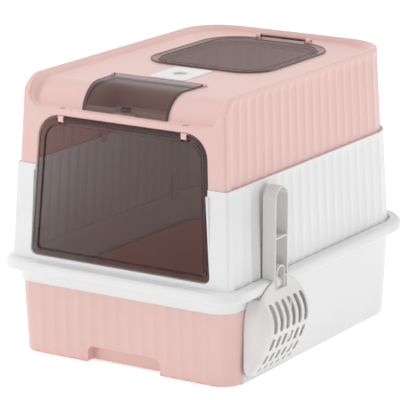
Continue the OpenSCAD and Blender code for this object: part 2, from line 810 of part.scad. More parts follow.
module roof_hatch() {
    barrel = hatch_hinge_w/2 - ear_w - play;
    color("dimgray")
    difference() {
        union() {
            // lapping edge, skirt in the opening, panel let in between
            ring_plate(hatch_z, hatch_t, 0, -skirt_in - 1);
            ring_plate(hatch_z - skirt_h, skirt_h + hatch_t, -skirt_in, -skirt_in - skirt_t);
            translate([0, 0, hatch_z - 0.6]) linear_extrude(hatch_t - 0.4) hatch_outline(-skirt_in - 1);
            translate([-barrel, hatch_y1 - 4, hatch_z])
                cube([2*barrel, hatch_axis_y - hatch_y1 + 4, hatch_t]);
            translate([-barrel, hatch_axis_y, hatch_axis_z])
                rotate([0, 90, 0]) cylinder(r = hatch_barrel_r, h = 2*barrel, $fn = 60);
        }
        translate([-barrel - 1, hatch_axis_y, hatch_axis_z])
            rotate([0, 90, 0]) cylinder(d = hatch_pin_d + 2*run_fit, h = 2*barrel + 2, $fn = 48);
        // slot for the bolt
        translate([-bolt_w/2 - 2.5, hatch_y0, bolt_z - 0.8])
            cube([bolt_w + 5, skirt_in + skirt_t + 1, bolt_t + 2.6]);
    }
}

module hatch_pin() {
    color("dimgray")
        translate([-hatch_hinge_w/2, hatch_axis_y, hatch_axis_z])
            rotate([0, 90, 0]) cylinder(d = hatch_pin_d, h = hatch_hinge_w, $fn = 48);
}

// ---- Hatch latch ----

// The slide plate rides on the roof
module latch_plate() {
    difference() {
        translate([0, 0, roof_z - latch_drop + 0.1])
            linear_extrude(latch_t)
                round_rect(-latch_w/2, latch_rear_y - latch_l, latch_w/2, latch_rear_y, 4);
        translate([0, latch_rear_y - latch_l/2, roof_z - latch_drop - 0.5])
            cylinder(d = thumb_d, h = latch_t + 3, $fn = 64);
    }
}

// The bolt is wider than the slot, so it goes on from below with its stem
module latch_bolt() {
    translate([-stem_w/2, stem_y, bolt_z])
        cube([stem_w, stem_l, roof_z - latch_drop + 0.1 - stem_fit - bolt_z]);
    translate([-bolt_w/2, stem_y, bolt_z]) cube([bolt_w, bolt_rear_y - stem_y, bolt_t]);
}

module hatch_latch() {
    color("white") {
        latch_plate();
        latch_bolt();
    }
}

// ---- Deodoriser lid ----

module deodoriser_lid() {
    sweep = acos((lid_front_z - roof_bend_z)/(roof_r + lid_gap));
    notch_h = 3;
    notch_r = (notch_w*notch_w/4 + notch_h*notch_h)/(2*notch_h);
    color("dimgray")
    difference() {
        union() {
            // shell over the brow, a little wider at the back
            intersection() {
                side_prism(lid_w + 10)
                    polygon(concat(
                        [[lid_axis_y, roof_z + lid_out], [roof_bend_y, roof_z + lid_out]],
                        arc(roof_bend_y, roof_bend_z, roof_r + lid_out, 90, 90 + sweep, 12),
                        arc(roof_bend_y, roof_bend_z, roof_r + lid_gap, 90 + sweep, 90, 12),
                        [[lid_axis_y, roof_z + lid_gap]]));
                linear_extrude(2*far)
                    polygon([[-lid_w/2 + 4, roof_front_y - 6], [lid_w/2 - 4, roof_front_y - 6],
                             [lid_w/2, lid_axis_y + 10], [-lid_w/2, lid_axis_y + 10]]);
            }
            translate([-lid_w/2, lid_axis_y, lid_axis_z])
                rotate([0, 90, 0]) cylinder(r = lid_barrel_r, h = lid_w, $fn = 48);
            // pins in the ears
            translate([-lid_w/2 - lid_ear_w, lid_axis_y, lid_axis_z])
                rotate([0, 90, 0]) cylinder(d = lid_pin_d, h = lid_w + 2*lid_ear_w, $fn = 48);
            // catch in its slot in the brow
            translate([-catch_w/2, roof_front_y + 0.9, ledge_z + 4]) cube([catch_w, 4, 6]);
        }
        // finger notch in the front edge
        front_prism(roof_front_y - 5, roof_front_y + 0.6)
            translate([0, lid_front_z + notch_h - notch_r]) circle(notch_r, $fn = 160);
    }
}

// ---- Scoop ----

function sq(x) = x*x;

// Half width of the bowl at height z: round shoulders and foot
function bowl_half(z) = bowl_w/2 + (
    z > bowl_top_z - bowl_shoulder_r ?
        -bowl_shoulder_r + sqrt(max(0, sq(bowl_shoulder_r) - sq(z - bowl_top_z + bowl_shoulder_r))) :
    z < bowl_tip_z + bowl_foot_r ?
        -bowl_foot_r + sqrt(max(0, sq(bowl_foot_r) - sq(bowl_tip_z + bowl_foot_r - z))) : 0);

// Outside of the bowl at height z, bellied below the middle
function bowl_x(z) = z < bowl_belly_z ?
    bowl_mouth_x + 2.5 + (bowl_belly_x - bowl_mouth_x - 2.5)
        *sq(sin(90*(z - bowl_tip_z)/(bowl_belly_z - bowl_tip_z))) :
    bowl_belly_x + (scoop_out - bowl_belly_x)*sq(sin(90*(z - bowl_belly_z)/(bowl_top_z - bowl_belly_z)));

function bowl_level(z, in, mouth) =
    let (half = bowl_half(z) - in, out = bowl_x(z) - in, r = min(max(out - mouth - 1, 0.5), 14))
    [for (p = concat([[mouth, scoop_y - half]],
                     arc(out - r, scoop_y - half + r, r, 270, 360, 4),
                     arc(out - r, scoop_y + half - r, r, 0, 90, 4),
                     [[mouth, scoop_y + half]])) [p[0], p[1], z]];

module bowl_body(in, mouth) {
    foot = bowl_tip_z + bowl_foot_r;
    shoulder = bowl_top_z - bowl_shoulder_r;
    heights = concat(
        [bowl_tip_z + in],
        [for (a = [45, 65]) foot - bowl_foot_r*cos(a)],
        [foot, (foot + shoulder)/2, shoulder],
        [for (a = [16, 32, 48, 64]) shoulder + bowl_shoulder_r*sin(a)],
        [bowl_top_z - in]);
    for (i = [0:len(heights) - 2])
        through(concat(bowl_level(heights[i], in, mouth), bowl_level(heights[i + 1], in, mouth)));
}

// Upright bar with a round top, from x0 to x1
module upright_bar(w, z0, z1, x0, x1) {
    translate([x0, 0, 0])
        rotate([90, 0, 90])
            linear_extrude(x1 - x0) {
                translate([scoop_y - w/2, z0]) square([w, z1 - w/2 - z0]);
                translate([scoop_y, z1 - w/2]) circle(d = w, $fn = 32);
            }
}

module scoop_handle() {
    foot = rim_top + play;
    inner_w = grip_bar_w*0.62;
    arch_top = rim_top + 16;
    difference() {
        union() {
            upright_bar(grip_bar_w, foot - 1, grip_top_z, scoop_x, scoop_out);
            translate([bridge_x - 2, scoop_y - grip_bar_w/2 + 1, foot - 22])
                cube([scoop_out - bridge_x + 1.5, grip_bar_w - 2, 24]);
        }
        // hollow that opens outwards
        upright_bar(grip_bar_w - 2*scoop_wall, foot + 3, grip_top_z - scoop_wall,
                    scoop_x + scoop_wall, scoop_out + 1);
    }
    translate([scoop_x + 1, scoop_y - grip_bar_w/2 + 1, rim_top + 51])
        cube([grip_bar_t - 5, grip_bar_w - 2, 1.8]);
    difference() {
        upright_bar(inner_w, foot - 1, arch_top, scoop_x + 1, scoop_out - 3);
        upright_bar(inner_w - 2*scoop_wall, foot - 2, arch_top - scoop_wall, scoop_x, scoop_out);
    }
}

// Slots in rows down the bowl, cut outwards
module bowl_slots() {
    for (row = [[0.85, 0.52], [0.47, 0.32], [0.27, 0.15], [0.11, 0.055]], i = [-2.5:2.5])
        translate([bowl_mouth_x + 1.5, scoop_y + i*(slot_w + slot_rib), 0])
            rotate([90, 0, 90])
                linear_extrude(far)
                    slot_shape(bowl_tip_z + row[1]*(bowl_top_z - bowl_tip_z),
                               bowl_tip_z + row[0]*(bowl_top_z - bowl_tip_z));
}

module slot_shape(z0, z1) {
    r = slot_w/2;
    translate([-r, z0 + r]) square([2*r, z1 - z0 - 2*r]);
    for (z = [z0 + r, z1 - r])
        translate([0, z]) circle(r, $fn = 12);
}

module scoop() {
    color("gainsboro")
    difference() {
        union() {
            difference() {
                bowl_body(0, bowl_mouth_x);
                bowl_body(scoop_wall, bowl_mouth_x - 1);
                bowl_slots();
            }
            scoop_handle();
        }
        // room for the rim
        translate([0, -far, rim_z - 4]) cube([bridge_x, 2*far, rim_h + 4 + play]);
    }
}

base_tub();
drawer();
housing();
side_clip(1, side_clip_y0);  // side_clip_fr
side_clip(-1, side_clip_y0);  // side_clip_fl
side_clip(1, side_clip_y1);  // side_clip_rr
side_clip(-1, side_clip_y1);  // side_clip_rl
hood();
hood_clip(1, hood_clip_y0);  // hood_clip_fr
hood_clip(-1, hood_clip_y0);  // hood_clip_fl
hood_clip(1, hood_clip_y1);  // hood_clip_rr
hood_clip(-1, hood_clip_y1);  // hood_clip_rl
hatch_ears();
lid_ears();
well_floor();
door_clip(1);  // door_clip_right
door_clip(-1);  // door_clip_left
front_door();
roof_hatch();
hatch_pin();
hatch_latch();
deodoriser_lid();
scoop();
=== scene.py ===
"""Looks of a drawer litter box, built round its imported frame.

Lengths in the shaping code are millimetres; mesh_piece turns them into metres.
X is the width, -Y the front, Z up, with the origin on the floor.
"""

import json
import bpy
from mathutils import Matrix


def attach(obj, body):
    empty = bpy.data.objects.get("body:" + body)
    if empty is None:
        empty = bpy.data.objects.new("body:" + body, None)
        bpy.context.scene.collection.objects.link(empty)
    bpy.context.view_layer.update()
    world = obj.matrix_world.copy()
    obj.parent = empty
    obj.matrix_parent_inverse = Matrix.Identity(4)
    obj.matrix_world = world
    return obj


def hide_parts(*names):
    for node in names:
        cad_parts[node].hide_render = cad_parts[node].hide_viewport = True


bl_info = {
    "name": "Drawer litter box",
    "version": (1, 0, 0),
    "blender": (4, 5, 0),
    "location": "View3D > Sidebar > Litter box",
    "description": "Moulded shells, smoky doors, scoop and stage of a drawer litter box",
    "category": "Object",
}

from math import acos, asin, cos, degrees, hypot, pi, radians, sin, sqrt, tan

import bmesh
import bpy
import numpy as np
from mathutils import Vector

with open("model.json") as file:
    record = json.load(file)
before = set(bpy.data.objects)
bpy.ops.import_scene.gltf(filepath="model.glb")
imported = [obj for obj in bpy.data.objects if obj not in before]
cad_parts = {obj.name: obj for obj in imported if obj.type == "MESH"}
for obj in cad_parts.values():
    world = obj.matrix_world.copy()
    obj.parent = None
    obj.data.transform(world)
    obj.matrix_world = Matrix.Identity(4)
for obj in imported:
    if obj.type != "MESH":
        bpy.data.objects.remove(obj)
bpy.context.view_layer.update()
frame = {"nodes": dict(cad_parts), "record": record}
MM = 0.001

# ---- Sizes, in millimetres and degrees ----

# tub, rim and collar
RIM_W, RIM_D, RIM_Z, RIM_TOP = 354.0, 486.0, 114.0, 128.0
RIM_FRONT_R, RIM_REAR_R, RIM_LOW_R, RIM_HIGH_R = 38.0, 70.0, 3.4, 7.0
TUB_W, TUB_D, TUB_LEAN, TUB_WALL = 324.0, 456.0, 2.2, 2.8
TUB_FRONT_R, TUB_REAR_R, TUB_SLOPE = 30.0, 62.0, tan(radians(TUB_LEAN))
APRON_Z, APRON_R, WRAP_Y, SEAT_Z = 98.0, 2.5, -186.62, 122.0
COLLAR_W, COLLAR_D, COLLAR_TOP, COLLAR_T = 315.45, 447.45, 129.5, 2.4
COLLAR_FRONT_R, COLLAR_REAR_R = 4.0, 57.4
# housing and hood
HOUSE_W, HOUSE_D, HOUSE_FOOT, HOUSE_TOP = 322.0, 454.0, 122.35, 250.5
SEAM_Z, HOOD_TOP, DRAFT, SHELL = 248.0, 361.5, 2.6, 2.6
REAR_R, FRONT_R, SLOPE = 60.0, 4.0, tan(radians(DRAFT))
HOOD_W = HOUSE_W - 2 * ((SEAM_Z - HOUSE_FOOT) * SLOPE + 3.4)
HOOD_D = HOUSE_D - 2 * ((SEAM_Z - HOUSE_FOOT) * SLOPE + 1.7)
HOOD_LEAN = (HOOD_TOP - SEAM_Z) * SLOPE
ROOF_Z, CEILING_Z, LEDGE_Z = 354.5, 351.9, 325.0
ROOF_HALF, ROOF_REAR_Y, ROOF_FRONT_Y = HOOD_W / 2 - HOOD_LEAN - 14, HOOD_D / 2 - HOOD_LEAN - 8, -208.44
BROW_R, BEND_R = 30.0, 36.0
BROW_Z = HOOD_TOP - BROW_R
BROW_Y = -HOOD_D / 2 + (BROW_Z - SEAM_Z) * SLOPE + BROW_R / cos(radians(DRAFT))
BEND_Y, BEND_Z = ROOF_FRONT_Y + BEND_R, ROOF_Z - BEND_R
# where on the roof's bend its ledge begins, in radians, and the bend's length from there
LEDGE_TURN = radians(180 - degrees(asin((LEDGE_Z - BEND_Z) / BEND_R)))
BEND_RUN = (LEDGE_TURN - pi / 2) * BEND_R
# flutes: how many, mesh columns for each, and how far behind the front their run starts
FLUTES, DRAWER_FLUTES, FLUTE_STEPS, FLUTE_START = 54, 15, 12, 12.0
MID_RUN = 0.985  # length of a tapering wall's run at half height, as a share of that at its foot
# doorway and flap
DOOR_W, SILL_Z, DOOR_TOP, DOOR_TOP_R, DOOR_FOOT_R = 264.0, 134.0, 315.5, 31.0, 8.0
DOOR_TAPER = (DOOR_TOP - SILL_Z) * SLOPE
DOOR_AXIS, DOOR_LEAN, DOOR_GAP = (-214.329, 311.1), radians(2.954), 1.2
CLIP_X, CLIP_W, TONGUE_HALF = 90.0, 7.6, 3.6
# hatch and latch
HATCH_W, HATCH_Y0, HATCH_R, HATCH_Z = 181.0, -40.0, 42.0, 354.85
HATCH_REAR, HATCH_REAR_R, HATCH_LAP = 172.0, 54.0, 9.0
HATCH_AXIS, HATCH_BARREL = (179.0, 358.3), 34.65
PLATE_HALF, PLATE_Y0, PLATE_Y1, PLATE_PLAY = 27.5, -116.0, -46.0, 0.35
STEM_HALF, BOLT_HALF, STEM_Y, BOLT_Z, BOLT_T, THUMB_Y = 6.0, 7.0, -66.0, 348.55, 3.0, -81
# lid and well
LID_AXIS, LID_GAP, LID_FRONT_Z = (-131.7, 356.5), 0.5, 325.35
LID_HALF, LID_FLARE, LID_FOOT_Y, NOTCH_W, NOTCH_H = 62.0, 4.0, -214.44, 42.0, 3.0
WELL_X, WELL_Y, WELL_REAR = 59.5, -205.9, -138.0
WELL_FLOOR, WELL_FLOOR_T = (54.0, -198.4, -140.0, 1.5), (315.5, 317.0)
CATCH_HALF, CATCH_Y, CATCH_Z = 14.0, -212.0, 325.4
# drawer
DRAWER_W, DRAWER_D, DRAWER_FOOT, DRAWER_TOP = 315.24, 432.24, 2.0, 97.25
DRAWER_R, DRAWER_BACK, DRAWER_WALL, WEB_Z = 28.0, -186.97, 4.2, 12.0
GRIP_HALF, GRIP_TOP, GRIP_R = 54.0, 24.0, 9.0
PAN_W, PAN_FRONT, PAN_REAR, PAN_TOP = 302.64, -194.12, 213.32, 84.0
# scoop: bowl from BOWL_FOOT to BOWL_TOP, widest up to BOWL_MID, and the bar of its handle
SCOOP_Y, SCOOP_X, SCOOP_OUT, SCOOP_WALL, BRIDGE_X, MOUTH_X = -135.0, 162.34, 180.84, 1.9, 178.4, 163.0
BOWL_HALF, BOWL_FOOT, BOWL_FOOT_R, BOWL_MID, BOWL_TOP, BOWL_POWER = 59.5, 9.0, 18.0, 70.0, 128.0, 2.4
BAR_W, BAR_ROOM_W, BAR_FOOT, SCOOP_TOP = 31.5, 27.7, 112.0, 245.0
ARCH_W, ARCH_TOP, TIE_Z, RIB_Z = BAR_W * 0.66, RIM_TOP + 17, 129.0, RIM_TOP + 51.6
# heights of the bowl, and how far it bulges out at them
BULGE_Z = [9, 14, 20, 27, 34, 41, 50, 60, 68, 75, 82, 89, 95, 100, 104, 108, 112, 117, 128]
BULGE_X = [165.5, 169.2, 173.8, 178.2, 182.2, 185.6, 189.4, 193, 195, 195.9, 195.7, 194.2, 191.8,
           188.8, 186.2, 183.8, 182, 180.6, 179.4]
# rows of slots: upper and lower end as shares of SLOT_REACH above the bowl's foot, and half width
SLOTS, SLOT_PITCH, SLOT_REACH = 6, 14.8, 112
SLOT_ROWS = ((0.85, 0.52, 4.2), (0.47, 0.32, 4.0), (0.27, 0.15, 3.5), (0.11, 0.055, 2.9))

# ---- Stage, in metres and degrees ----

CAMERA_AT, CAMERA_TURN, SENSOR = (1.72322, -2.81173, 1.02292), (75.54517, -0.10859, 31.84029), 36.0
FLOOR_HALF, FLOOR_GLOW, FLOOR_WHITE, ROOM_LIGHT = 6, 0.27, 0.62, 0.5
LAMPS = (  # name, place, aim, size, power
    ("key", (1.7, 1.5, 1.2), (0, 0, 0.15), 1.2, 10),
    ("fill", (-1.6, -2.3, 0.9), (0, 0, 0.15), 1.2, 7.5),
    ("over", (-0.5, -0.5, 2.3), (0, 0, 0.3), 1.8, 19),
    ("low_front", (-0.9, -1.5, 0.12), (0, -0.2, 0.04), 0.7, 3),
    ("low_side", (1.9, -0.5, 0.15), (0.15, 0, 0.06), 0.9, 4.5))


# ---- Mesh tools ----

def arc(cx, cy, r, a0, a1, n):
    """Points on an arc from angle a0 to a1, in degrees."""
    a = np.radians(np.linspace(a0, a1, n + 1))
    return np.stack([cx + r * np.cos(a), cy + r * np.sin(a)], 1)


def bent(cx, cy, r, a):
    """Point on an arc at angle a, in radians, and the normal there."""
    c, s = cos(a), sin(a)
    return cx + r * c, cy + r * s, c, s


def ring_at(axis, points, place):
    """Ring of points in space: place is what points in a plane lack, along axis 0, 1 or 2."""
    return np.insert(np.asarray(points, float), axis, place, axis=1)


def linked(name, data):
    obj = bpy.data.objects.new(name, data)
    bpy.context.scene.collection.objects.link(obj)
    return obj


def mesh_piece(name, verts, faces, attributes=None):
    """A mesh object from points in millimetres, with its normals set outwards."""
    mesh = bpy.data.meshes.new(name)
    mesh.from_pydata((np.asarray(verts, float) * MM).tolist(), [], [list(map(int, f)) for f in faces])
    for key, values in (attributes or {}).items():
        kind, field = ("FLOAT_VECTOR", "vector") if np.ndim(values) == 2 else ("FLOAT", "value")
        layer = mesh.attributes.new(key, kind, "POINT")
        layer.data.foreach_set(field, np.ravel(values).astype(np.float32))
    bm = bmesh.new()
    bm.from_mesh(mesh)
    bmesh.ops.recalc_face_normals(bm, faces=bm.faces)
    bm.to_mesh(mesh)
    bm.free()
    return linked(name, mesh)


def loft(rings, closed_up=False):
    """Points and faces of a body through rings of equally many points; closed_up joins the last ring
    to the first."""
    n, m = len(rings), len(rings[0])
    faces = []
    for i in range(n if closed_up else n - 1):
        a, b = i * m, ((i + 1) % n) * m
        for j in range(m):
            k = (j + 1) % m
            faces.append((a + j, a + k, b + k, b + j))
    if not closed_up:
        faces.append(tuple(range(m))[::-1])
        faces.append(tuple(range((n - 1) * m, n * m)))
    return np.concatenate(rings), faces


def lofted(name, rings, closed_up=False):
    return mesh_piece(name, *loft(rings, closed_up))


def stacked(name, ring, *steps, closed_up=False):
    """Body through the rings that ring gives for the steps."""
    return lofted(name, [ring(*step) for step in steps], closed_up)


def baked(obj):
    """Turns the object with its modifiers into a plain mesh."""
    graph = bpy.context.evaluated_depsgraph_get()
    done = bpy.data.meshes.new_from_object(obj.evaluated_get(graph), preserve_all_data_layers=True,
                                           depsgraph=graph)
    obj.modifiers.clear()
    old = obj.data
    obj.data = done
    bpy.data.meshes.remove(old)
    return obj


def combine(how, obj, others):
    """Combines obj with each of the others in turn, and removes them."""
    for other in others:
        modifier = obj.modifiers.new("Combine", "BOOLEAN")
        modifier.operation, modifier.solver, modifier.object = how, "MANIFOLD", other
        baked(obj)
        bpy.data.objects.remove(other)
    return obj


def cut(obj, *others):
    return combine("DIFFERENCE", obj, others)


def weld(obj, *others):
    return combine("UNION", obj, others)


def shared(obj, *others):
    return combine("INTERSECT", obj, others)


def joined(name, parts):
    """One object from several."""
    bm = bmesh.new()
    for part in parts:
        bm.from_mesh(part.data)
        bpy.data.objects.remove(part)
    mesh = bpy.data.meshes.new(name)
    bm.to_mesh(mesh)
    bm.free()
    return linked(name, mesh)


def painted(obj, *slots):
    obj.data.materials.clear()
    for slot in slots:
        obj.data.materials.append(material(slot))


def edge_shaded(obj, slot, is_shaded):
    """Gives the faces that the test picks, from their centre in mm and normal, a darker, more opaque copy of
    the smoky plastic: painted shade for rims and steps seen edge on, where light passes through more plastic,
    and for dark gaps.
    """
    painted(obj, slot, "smoky_edge_shade")
    for face in obj.data.polygons:
        face.material_index = int(is_shaded(face.center / MM, face.normal))


def finished(obj, body, slot, *nodes, angle=34.0):
    """Smooths a piece but for its hard edges, gives it the material of its slot, hangs it on its body and
    hides the nodes that it stands for."""
    obj.data.shade_smooth()
    obj.data.set_sharp_from_angle(angle=radians(angle))
    modifier = obj.modifiers.new("Weighted normals", "WEIGHTED_NORMAL")
    modifier.keep_sharp, modifier.weight = True, 70
    painted(baked(obj), slot)
    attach(obj, body)
    if nodes:
        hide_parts(*nodes)


# ---- Outlines ----

def run_length(w, d):
    """Length of the run that a wall's flutes take, from the right front corner round the back."""
    return 2 * (d - FLUTE_START - REAR_R) + pi * REAR_R + w - 2 * REAR_R


def run_at(s, w, d, rr):
    """Place and outward normal at shares s of that run."""
    side, bend, back = d - FLUTE_START - rr, pi * rr / 2, w - 2 * rr
    q = np.asarray(s, float) * (2 * side + 2 * bend + back)
    out = np.zeros((len(q), 4))
    marks = np.cumsum([side, bend, back, bend])
    for k, v in enumerate(q):
        if v < marks[0]:
            out[k] = (w / 2, -d / 2 + FLUTE_START + v, 1, 0)
        elif v < marks[1]:
            out[k] = bent(w / 2 - rr, d / 2 - rr, rr, (v - marks[0]) / rr)
        elif v < marks[2]:
            out[k] = (w / 2 - rr - (v - marks[1]), d / 2, 0, 1)
        elif v < marks[3]:
            out[k] = bent(rr - w / 2, d / 2 - rr, rr, pi / 2 + (v - marks[2]) / rr)
        else:
            out[k] = (-w / 2, d / 2 - rr - (v - marks[3]), -1, 0)
    return out


def wall_columns(w, d, rf, rr, shares, n_side=6, n_corner=6, n_front=26):
    """Closed plan outline as rows of x, y, normal x, normal y: the flutes' run, then the left front corner,
    the front and the right front corner."""
    def line(x, y, nx, ny):
        return np.stack(np.broadcast_arrays(x, y, nx, ny), 1)

    def corner(cx, a0, a1):
        return [bent(cx, -d / 2 + rf, rf, a) for a in np.radians(np.linspace(a0, a1, n_corner + 1))]

    y0, y1, x1 = -d / 2 + FLUTE_START, -d / 2 + rf, w / 2 - rf
    return np.concatenate([
        run_at(shares, w, d, rr), line(-w / 2, np.linspace(y0, y1, n_side + 1)[1:-1], -1.0, 0.0),
        corner(-x1, 180, 270), line(np.linspace(-x1, x1, n_front + 1)[1:-1], -d / 2, 0.0, -1.0),
        corner(x1, 270, 360), line(w / 2, np.linspace(y1, y0, n_side + 1)[1:-1], 1.0, 0.0)])


def cornered(foot, top, y0, y1, rf, rt, n_foot, n_top):
    """Outline with round corners, from y0, where foot is half its width, to y1, where top is."""
    return np.concatenate([
        arc(top - rt, y1 - rt, rt, 0, 90, n_top), arc(rt - top, y1 - rt, rt, 90, 180, n_top),
        arc(rf - foot, y0 + rf, rf, 180, 270, n_foot), arc(foot - rf, y0 + rf, rf, 270, 360, n_foot)])


def plan_ring(w, d, rf, rr, z, n_front=16, n_rear=26):
    return ring_at(2, cornered(w / 2, w / 2, -d / 2, d / 2, rf, rr, n_front, n_rear), z)


def door_ring(grow, y_of_z, depth):
    """The doorway's outline grown by grow, on the front face at y_of_z, set back by depth."""
    foot = DOOR_W / 2 + grow
    p = cornered(foot, foot - DOOR_TAPER, SILL_Z - grow, DOOR_TOP + grow, DOOR_FOOT_R + grow,
                 DOOR_TOP_R + grow, 8, 14)
    return ring_at(1, p, y_of_z(p[:, 1]) + depth)


def door_cutter(y_of_z, edge_r, reach):
    """Body that opens the doorway and rounds its outer edge."""
    steps = [(-30, edge_r * 1.15), (-0.04, edge_r * 1.1)]
    for a in (14, 30, 47, 64, 80, 90):
        r = radians(a)
        steps.append((edge_r * (1 - cos(r)), edge_r * (1 - sin(r))))
    return lofted("door_cutter", [door_ring(g, y_of_z, t) for t, g in steps + [(reach, 0)]])


def box_rings(x0, y0, z0, x1, y1, z1):
    return [ring_at(2, [[x0, y0], [x1, y0], [x1, y1], [x0, y1]], z) for z in (z0, z1)]


def box_piece(name, *box):
    return lofted(name, box_rings(*box))


def middle_box(name, half, *sides):
    """Box from -half to half, then by its lowest Y and Z and its highest."""
    y0, z0, y1, z1 = sides
    return box_piece(name, -half, y0, z0, half, y1, z1)


def prism_x(name, profile, half):
    """Prism along X of a closed Y and Z profile."""
    return lofted(name, [ring_at(0, profile, x) for x in (-half, half)])


def tube_x(name, y, z, r, half, edge=0.4):
    """Round bar along X with softened ends."""
    return stacked(name, lambda x, q: ring_at(0, arc(y, z, q, 0, 360, 40)[:-1], x),
                   (-half, r - edge), (-half + edge, r), (half - edge, r), (half, r - edge))


# ---- Node tools ----

class Tree:
    """Short hand for adding linked nodes to a tree."""

    def __init__(self, tree):
        self.tree = tree

    def add(self, kind, inputs=(), **settings):
        node = self.tree.nodes.new(kind)
        for key, value in settings.items():
            setattr(node, key, value)
        for key, value in dict(inputs).items():
            self.feed(node.inputs[key], value)
        return node

    def feed(self, socket, value):
        if isinstance(value, bpy.types.NodeSocket):
            self.tree.links.new(value, socket)
        else:
            socket.default_value = value

    def maths(self, how, *values):
        return self.add("ShaderNodeMath", enumerate(values), operation=how).outputs[0]

    def less(self, a, b):
        return self.maths("SUBTRACT", a, b)

    def times(self, a, b):
        return self.maths("MULTIPLY", a, b)

    def scaled(self, vector, factor):
        return self.add("ShaderNodeVectorMath", {0: vector, "Scale": factor}, operation="SCALE").outputs[0]

    def noise(self, scale, detail, roughness=0.5):
        where = self.add("ShaderNodeTexCoord").outputs["Object"]
        return self.add("ShaderNodeTexNoise", {"Vector": where, "Scale": scale, "Detail": detail,
                                               "Roughness": roughness}).outputs[0]

    def spread(self, noise, low, high):
        """The noise's middle range, spread from low to high."""
        return self.add("ShaderNodeMapRange", {"Value": noise, "From Min": 0.3, "From Max": 0.7,
                                               "To Min": low, "To Max": high}).outputs[0]

    def seen(self):
        """1 for rays that show a surface, 0 for those that only light others."""
        path = self.add("ShaderNodeLightPath").outputs
        seen = self.maths("MAXIMUM", path["Is Camera Ray"], path["Is Transmission Ray"])
        return self.maths("MAXIMUM", seen, path["Is Glossy Ray"])


def empty_tree(owner):
    """The cleared tree of a material or world."""
    owner.use_nodes = True
    owner.node_tree.nodes.clear()
    return Tree(owner.node_tree)


def open_group(name, *inputs):
    """A new Geometry Nodes group with its tree and what comes in: geometry, the inputs and a material."""
    group = bpy.data.node_groups.new(name, "GeometryNodeTree")
    group.interface.new_socket("Geometry", in_out="OUTPUT", socket_type="NodeSocketGeometry")
    for label, kind in (("Geometry", "Geometry"), *inputs, ("Material", "Material")):
        group.interface.new_socket(label, in_out="INPUT", socket_type="NodeSocket" + kind)
    t = Tree(group)
    return group, t, t.add("NodeGroupInput").outputs


def close_group(group, t, geometry, paint):
    realized = t.add("GeometryNodeRealizeInstances", {"Geometry": geometry}).outputs[0]
    coloured = t.add("GeometryNodeSetMaterial", {"Geometry": realized, "Material": paint}).outputs[0]
    t.add("NodeGroupOutput", {0: coloured})
    return group


def use_group(obj, group, values):
    """Puts the group on obj as a modifier, sets its inputs by identifier and bakes it."""
    modifier = obj.modifiers.new(group.name, "NODES")
    modifier.node_group = group
    for item in group.interface.items_tree:
        if item.in_out == "INPUT" and item.name in values:
            modifier[item.identifier] = values[item.name]
    return baked(obj)


def flute_group():
    """Flutes that run up a wall and end in an arch at the height of the crest attribute."""
    group, t, given = open_group("Wall flutes", ("Flutes", "Int"), ("Run length", "Float"),
                                 ("Flute width", "Float"), ("Flute depth", "Float"),
                                 ("Ridge softness", "Float"))
    kinds = {"run": "FLOAT", "crest": "FLOAT", "skin": "FLOAT", "facing": "FLOAT_VECTOR"}
    run, crest, skin, facing = (
        t.add("GeometryNodeInputNamedAttribute", {"Name": key}, data_type=kind).outputs[0]
        for key, kind in kinds.items())
    height = t.add("ShaderNodeSeparateXYZ", {0: t.add("GeometryNodeInputPosition").outputs[0]}).outputs[2]
    depth, half = given["Flute depth"], t.times(given["Flute width"], 0.5)
    squares = t.maths("ADD", t.times(half, half), t.times(depth, depth))
    radius = t.maths("DIVIDE", squares, t.times(depth, 2.0))
    place = t.maths("FRACT", t.times(run, given["Flutes"]))
    pitch = t.maths("DIVIDE", given["Run length"], given["Flutes"])
    aside = t.times(t.less(place, 0.5), pitch)
    above = t.maths("MAXIMUM", t.less(height, t.less(crest, half)), 0.0)
    left = t.less(t.times(radius, radius), t.maths("ADD", t.times(aside, aside), t.times(above, above)))
    sink = t.less(t.maths("SQRT", t.maths("MAXIMUM", left, 0.0)), t.less(radius, depth))
    soft = t.maths("SMOOTH_MAX", sink, 0.0, given["Ridge softness"])
    offset = t.scaled(facing, t.times(t.times(soft, skin), -1.0))
    moved = t.add("GeometryNodeSetPosition", {"Geometry": given["Geometry"], "Offset": offset})
    return close_group(group, t, moved.outputs[0], given["Material"])


def fluted(obj, sizes, slot, length, flutes=None):
    group = bpy.data.node_groups.get("Wall flutes") or flute_group()
    return use_group(obj, group, {
        "Flutes": flutes or sizes.flutes, "Run length": length * MM, "Flute width": sizes.flute_width,
        "Flute depth": sizes.flute_depth, "Ridge softness": 0.0004, "Material": material(slot)})


def flute_shares(sizes):
    return np.linspace(0, 1, sizes.flutes * FLUTE_STEPS + 1)


def fluted_wall(name, rings, skin, cols, crest, sizes, slot, length, closed_up=False):
    """Body through rings of columns, whose run takes flutes up to the height crest. cols has the columns'
    normals, and skin says how much of the flutes' depth each ring takes."""
    shares, n = flute_shares(sizes), len(rings)
    rest = np.zeros(len(cols) - len(shares))
    obj = mesh_piece(name, *loft(rings, closed_up), {
        "run": np.tile(np.concatenate([shares, rest]), n),
        "skin": np.outer(skin, np.concatenate([np.ones(len(shares)), rest])).ravel(),
        "crest": np.tile(np.broadcast_to(crest, len(cols)) * MM, n),
        "facing": np.tile(ring_at(2, cols[:, 2:], 0), (n, 1))})
    return fluted(obj, sizes, slot, length)


def row_group():
    """Copies of one shape in a row across Y, centred on it."""
    group, t, given = open_group("Row of slots", ("Count", "Int"), ("Pitch", "Float"))
    count, pitch = given["Count"], given["Pitch"]
    start = t.times(t.times(t.less(count, 1.0), pitch), -0.5)
    line = t.add("GeometryNodeMeshLine", {
        "Count": count, "Start Location": t.add("ShaderNodeCombineXYZ", {1: start}).outputs[0],
        "Offset": t.add("ShaderNodeCombineXYZ", {1: pitch}).outputs[0]})
    copies = t.add("GeometryNodeInstanceOnPoints", {"Points": line.outputs[0], "Instance": given["Geometry"]})
    return close_group(group, t, copies.outputs[0], given["Material"])


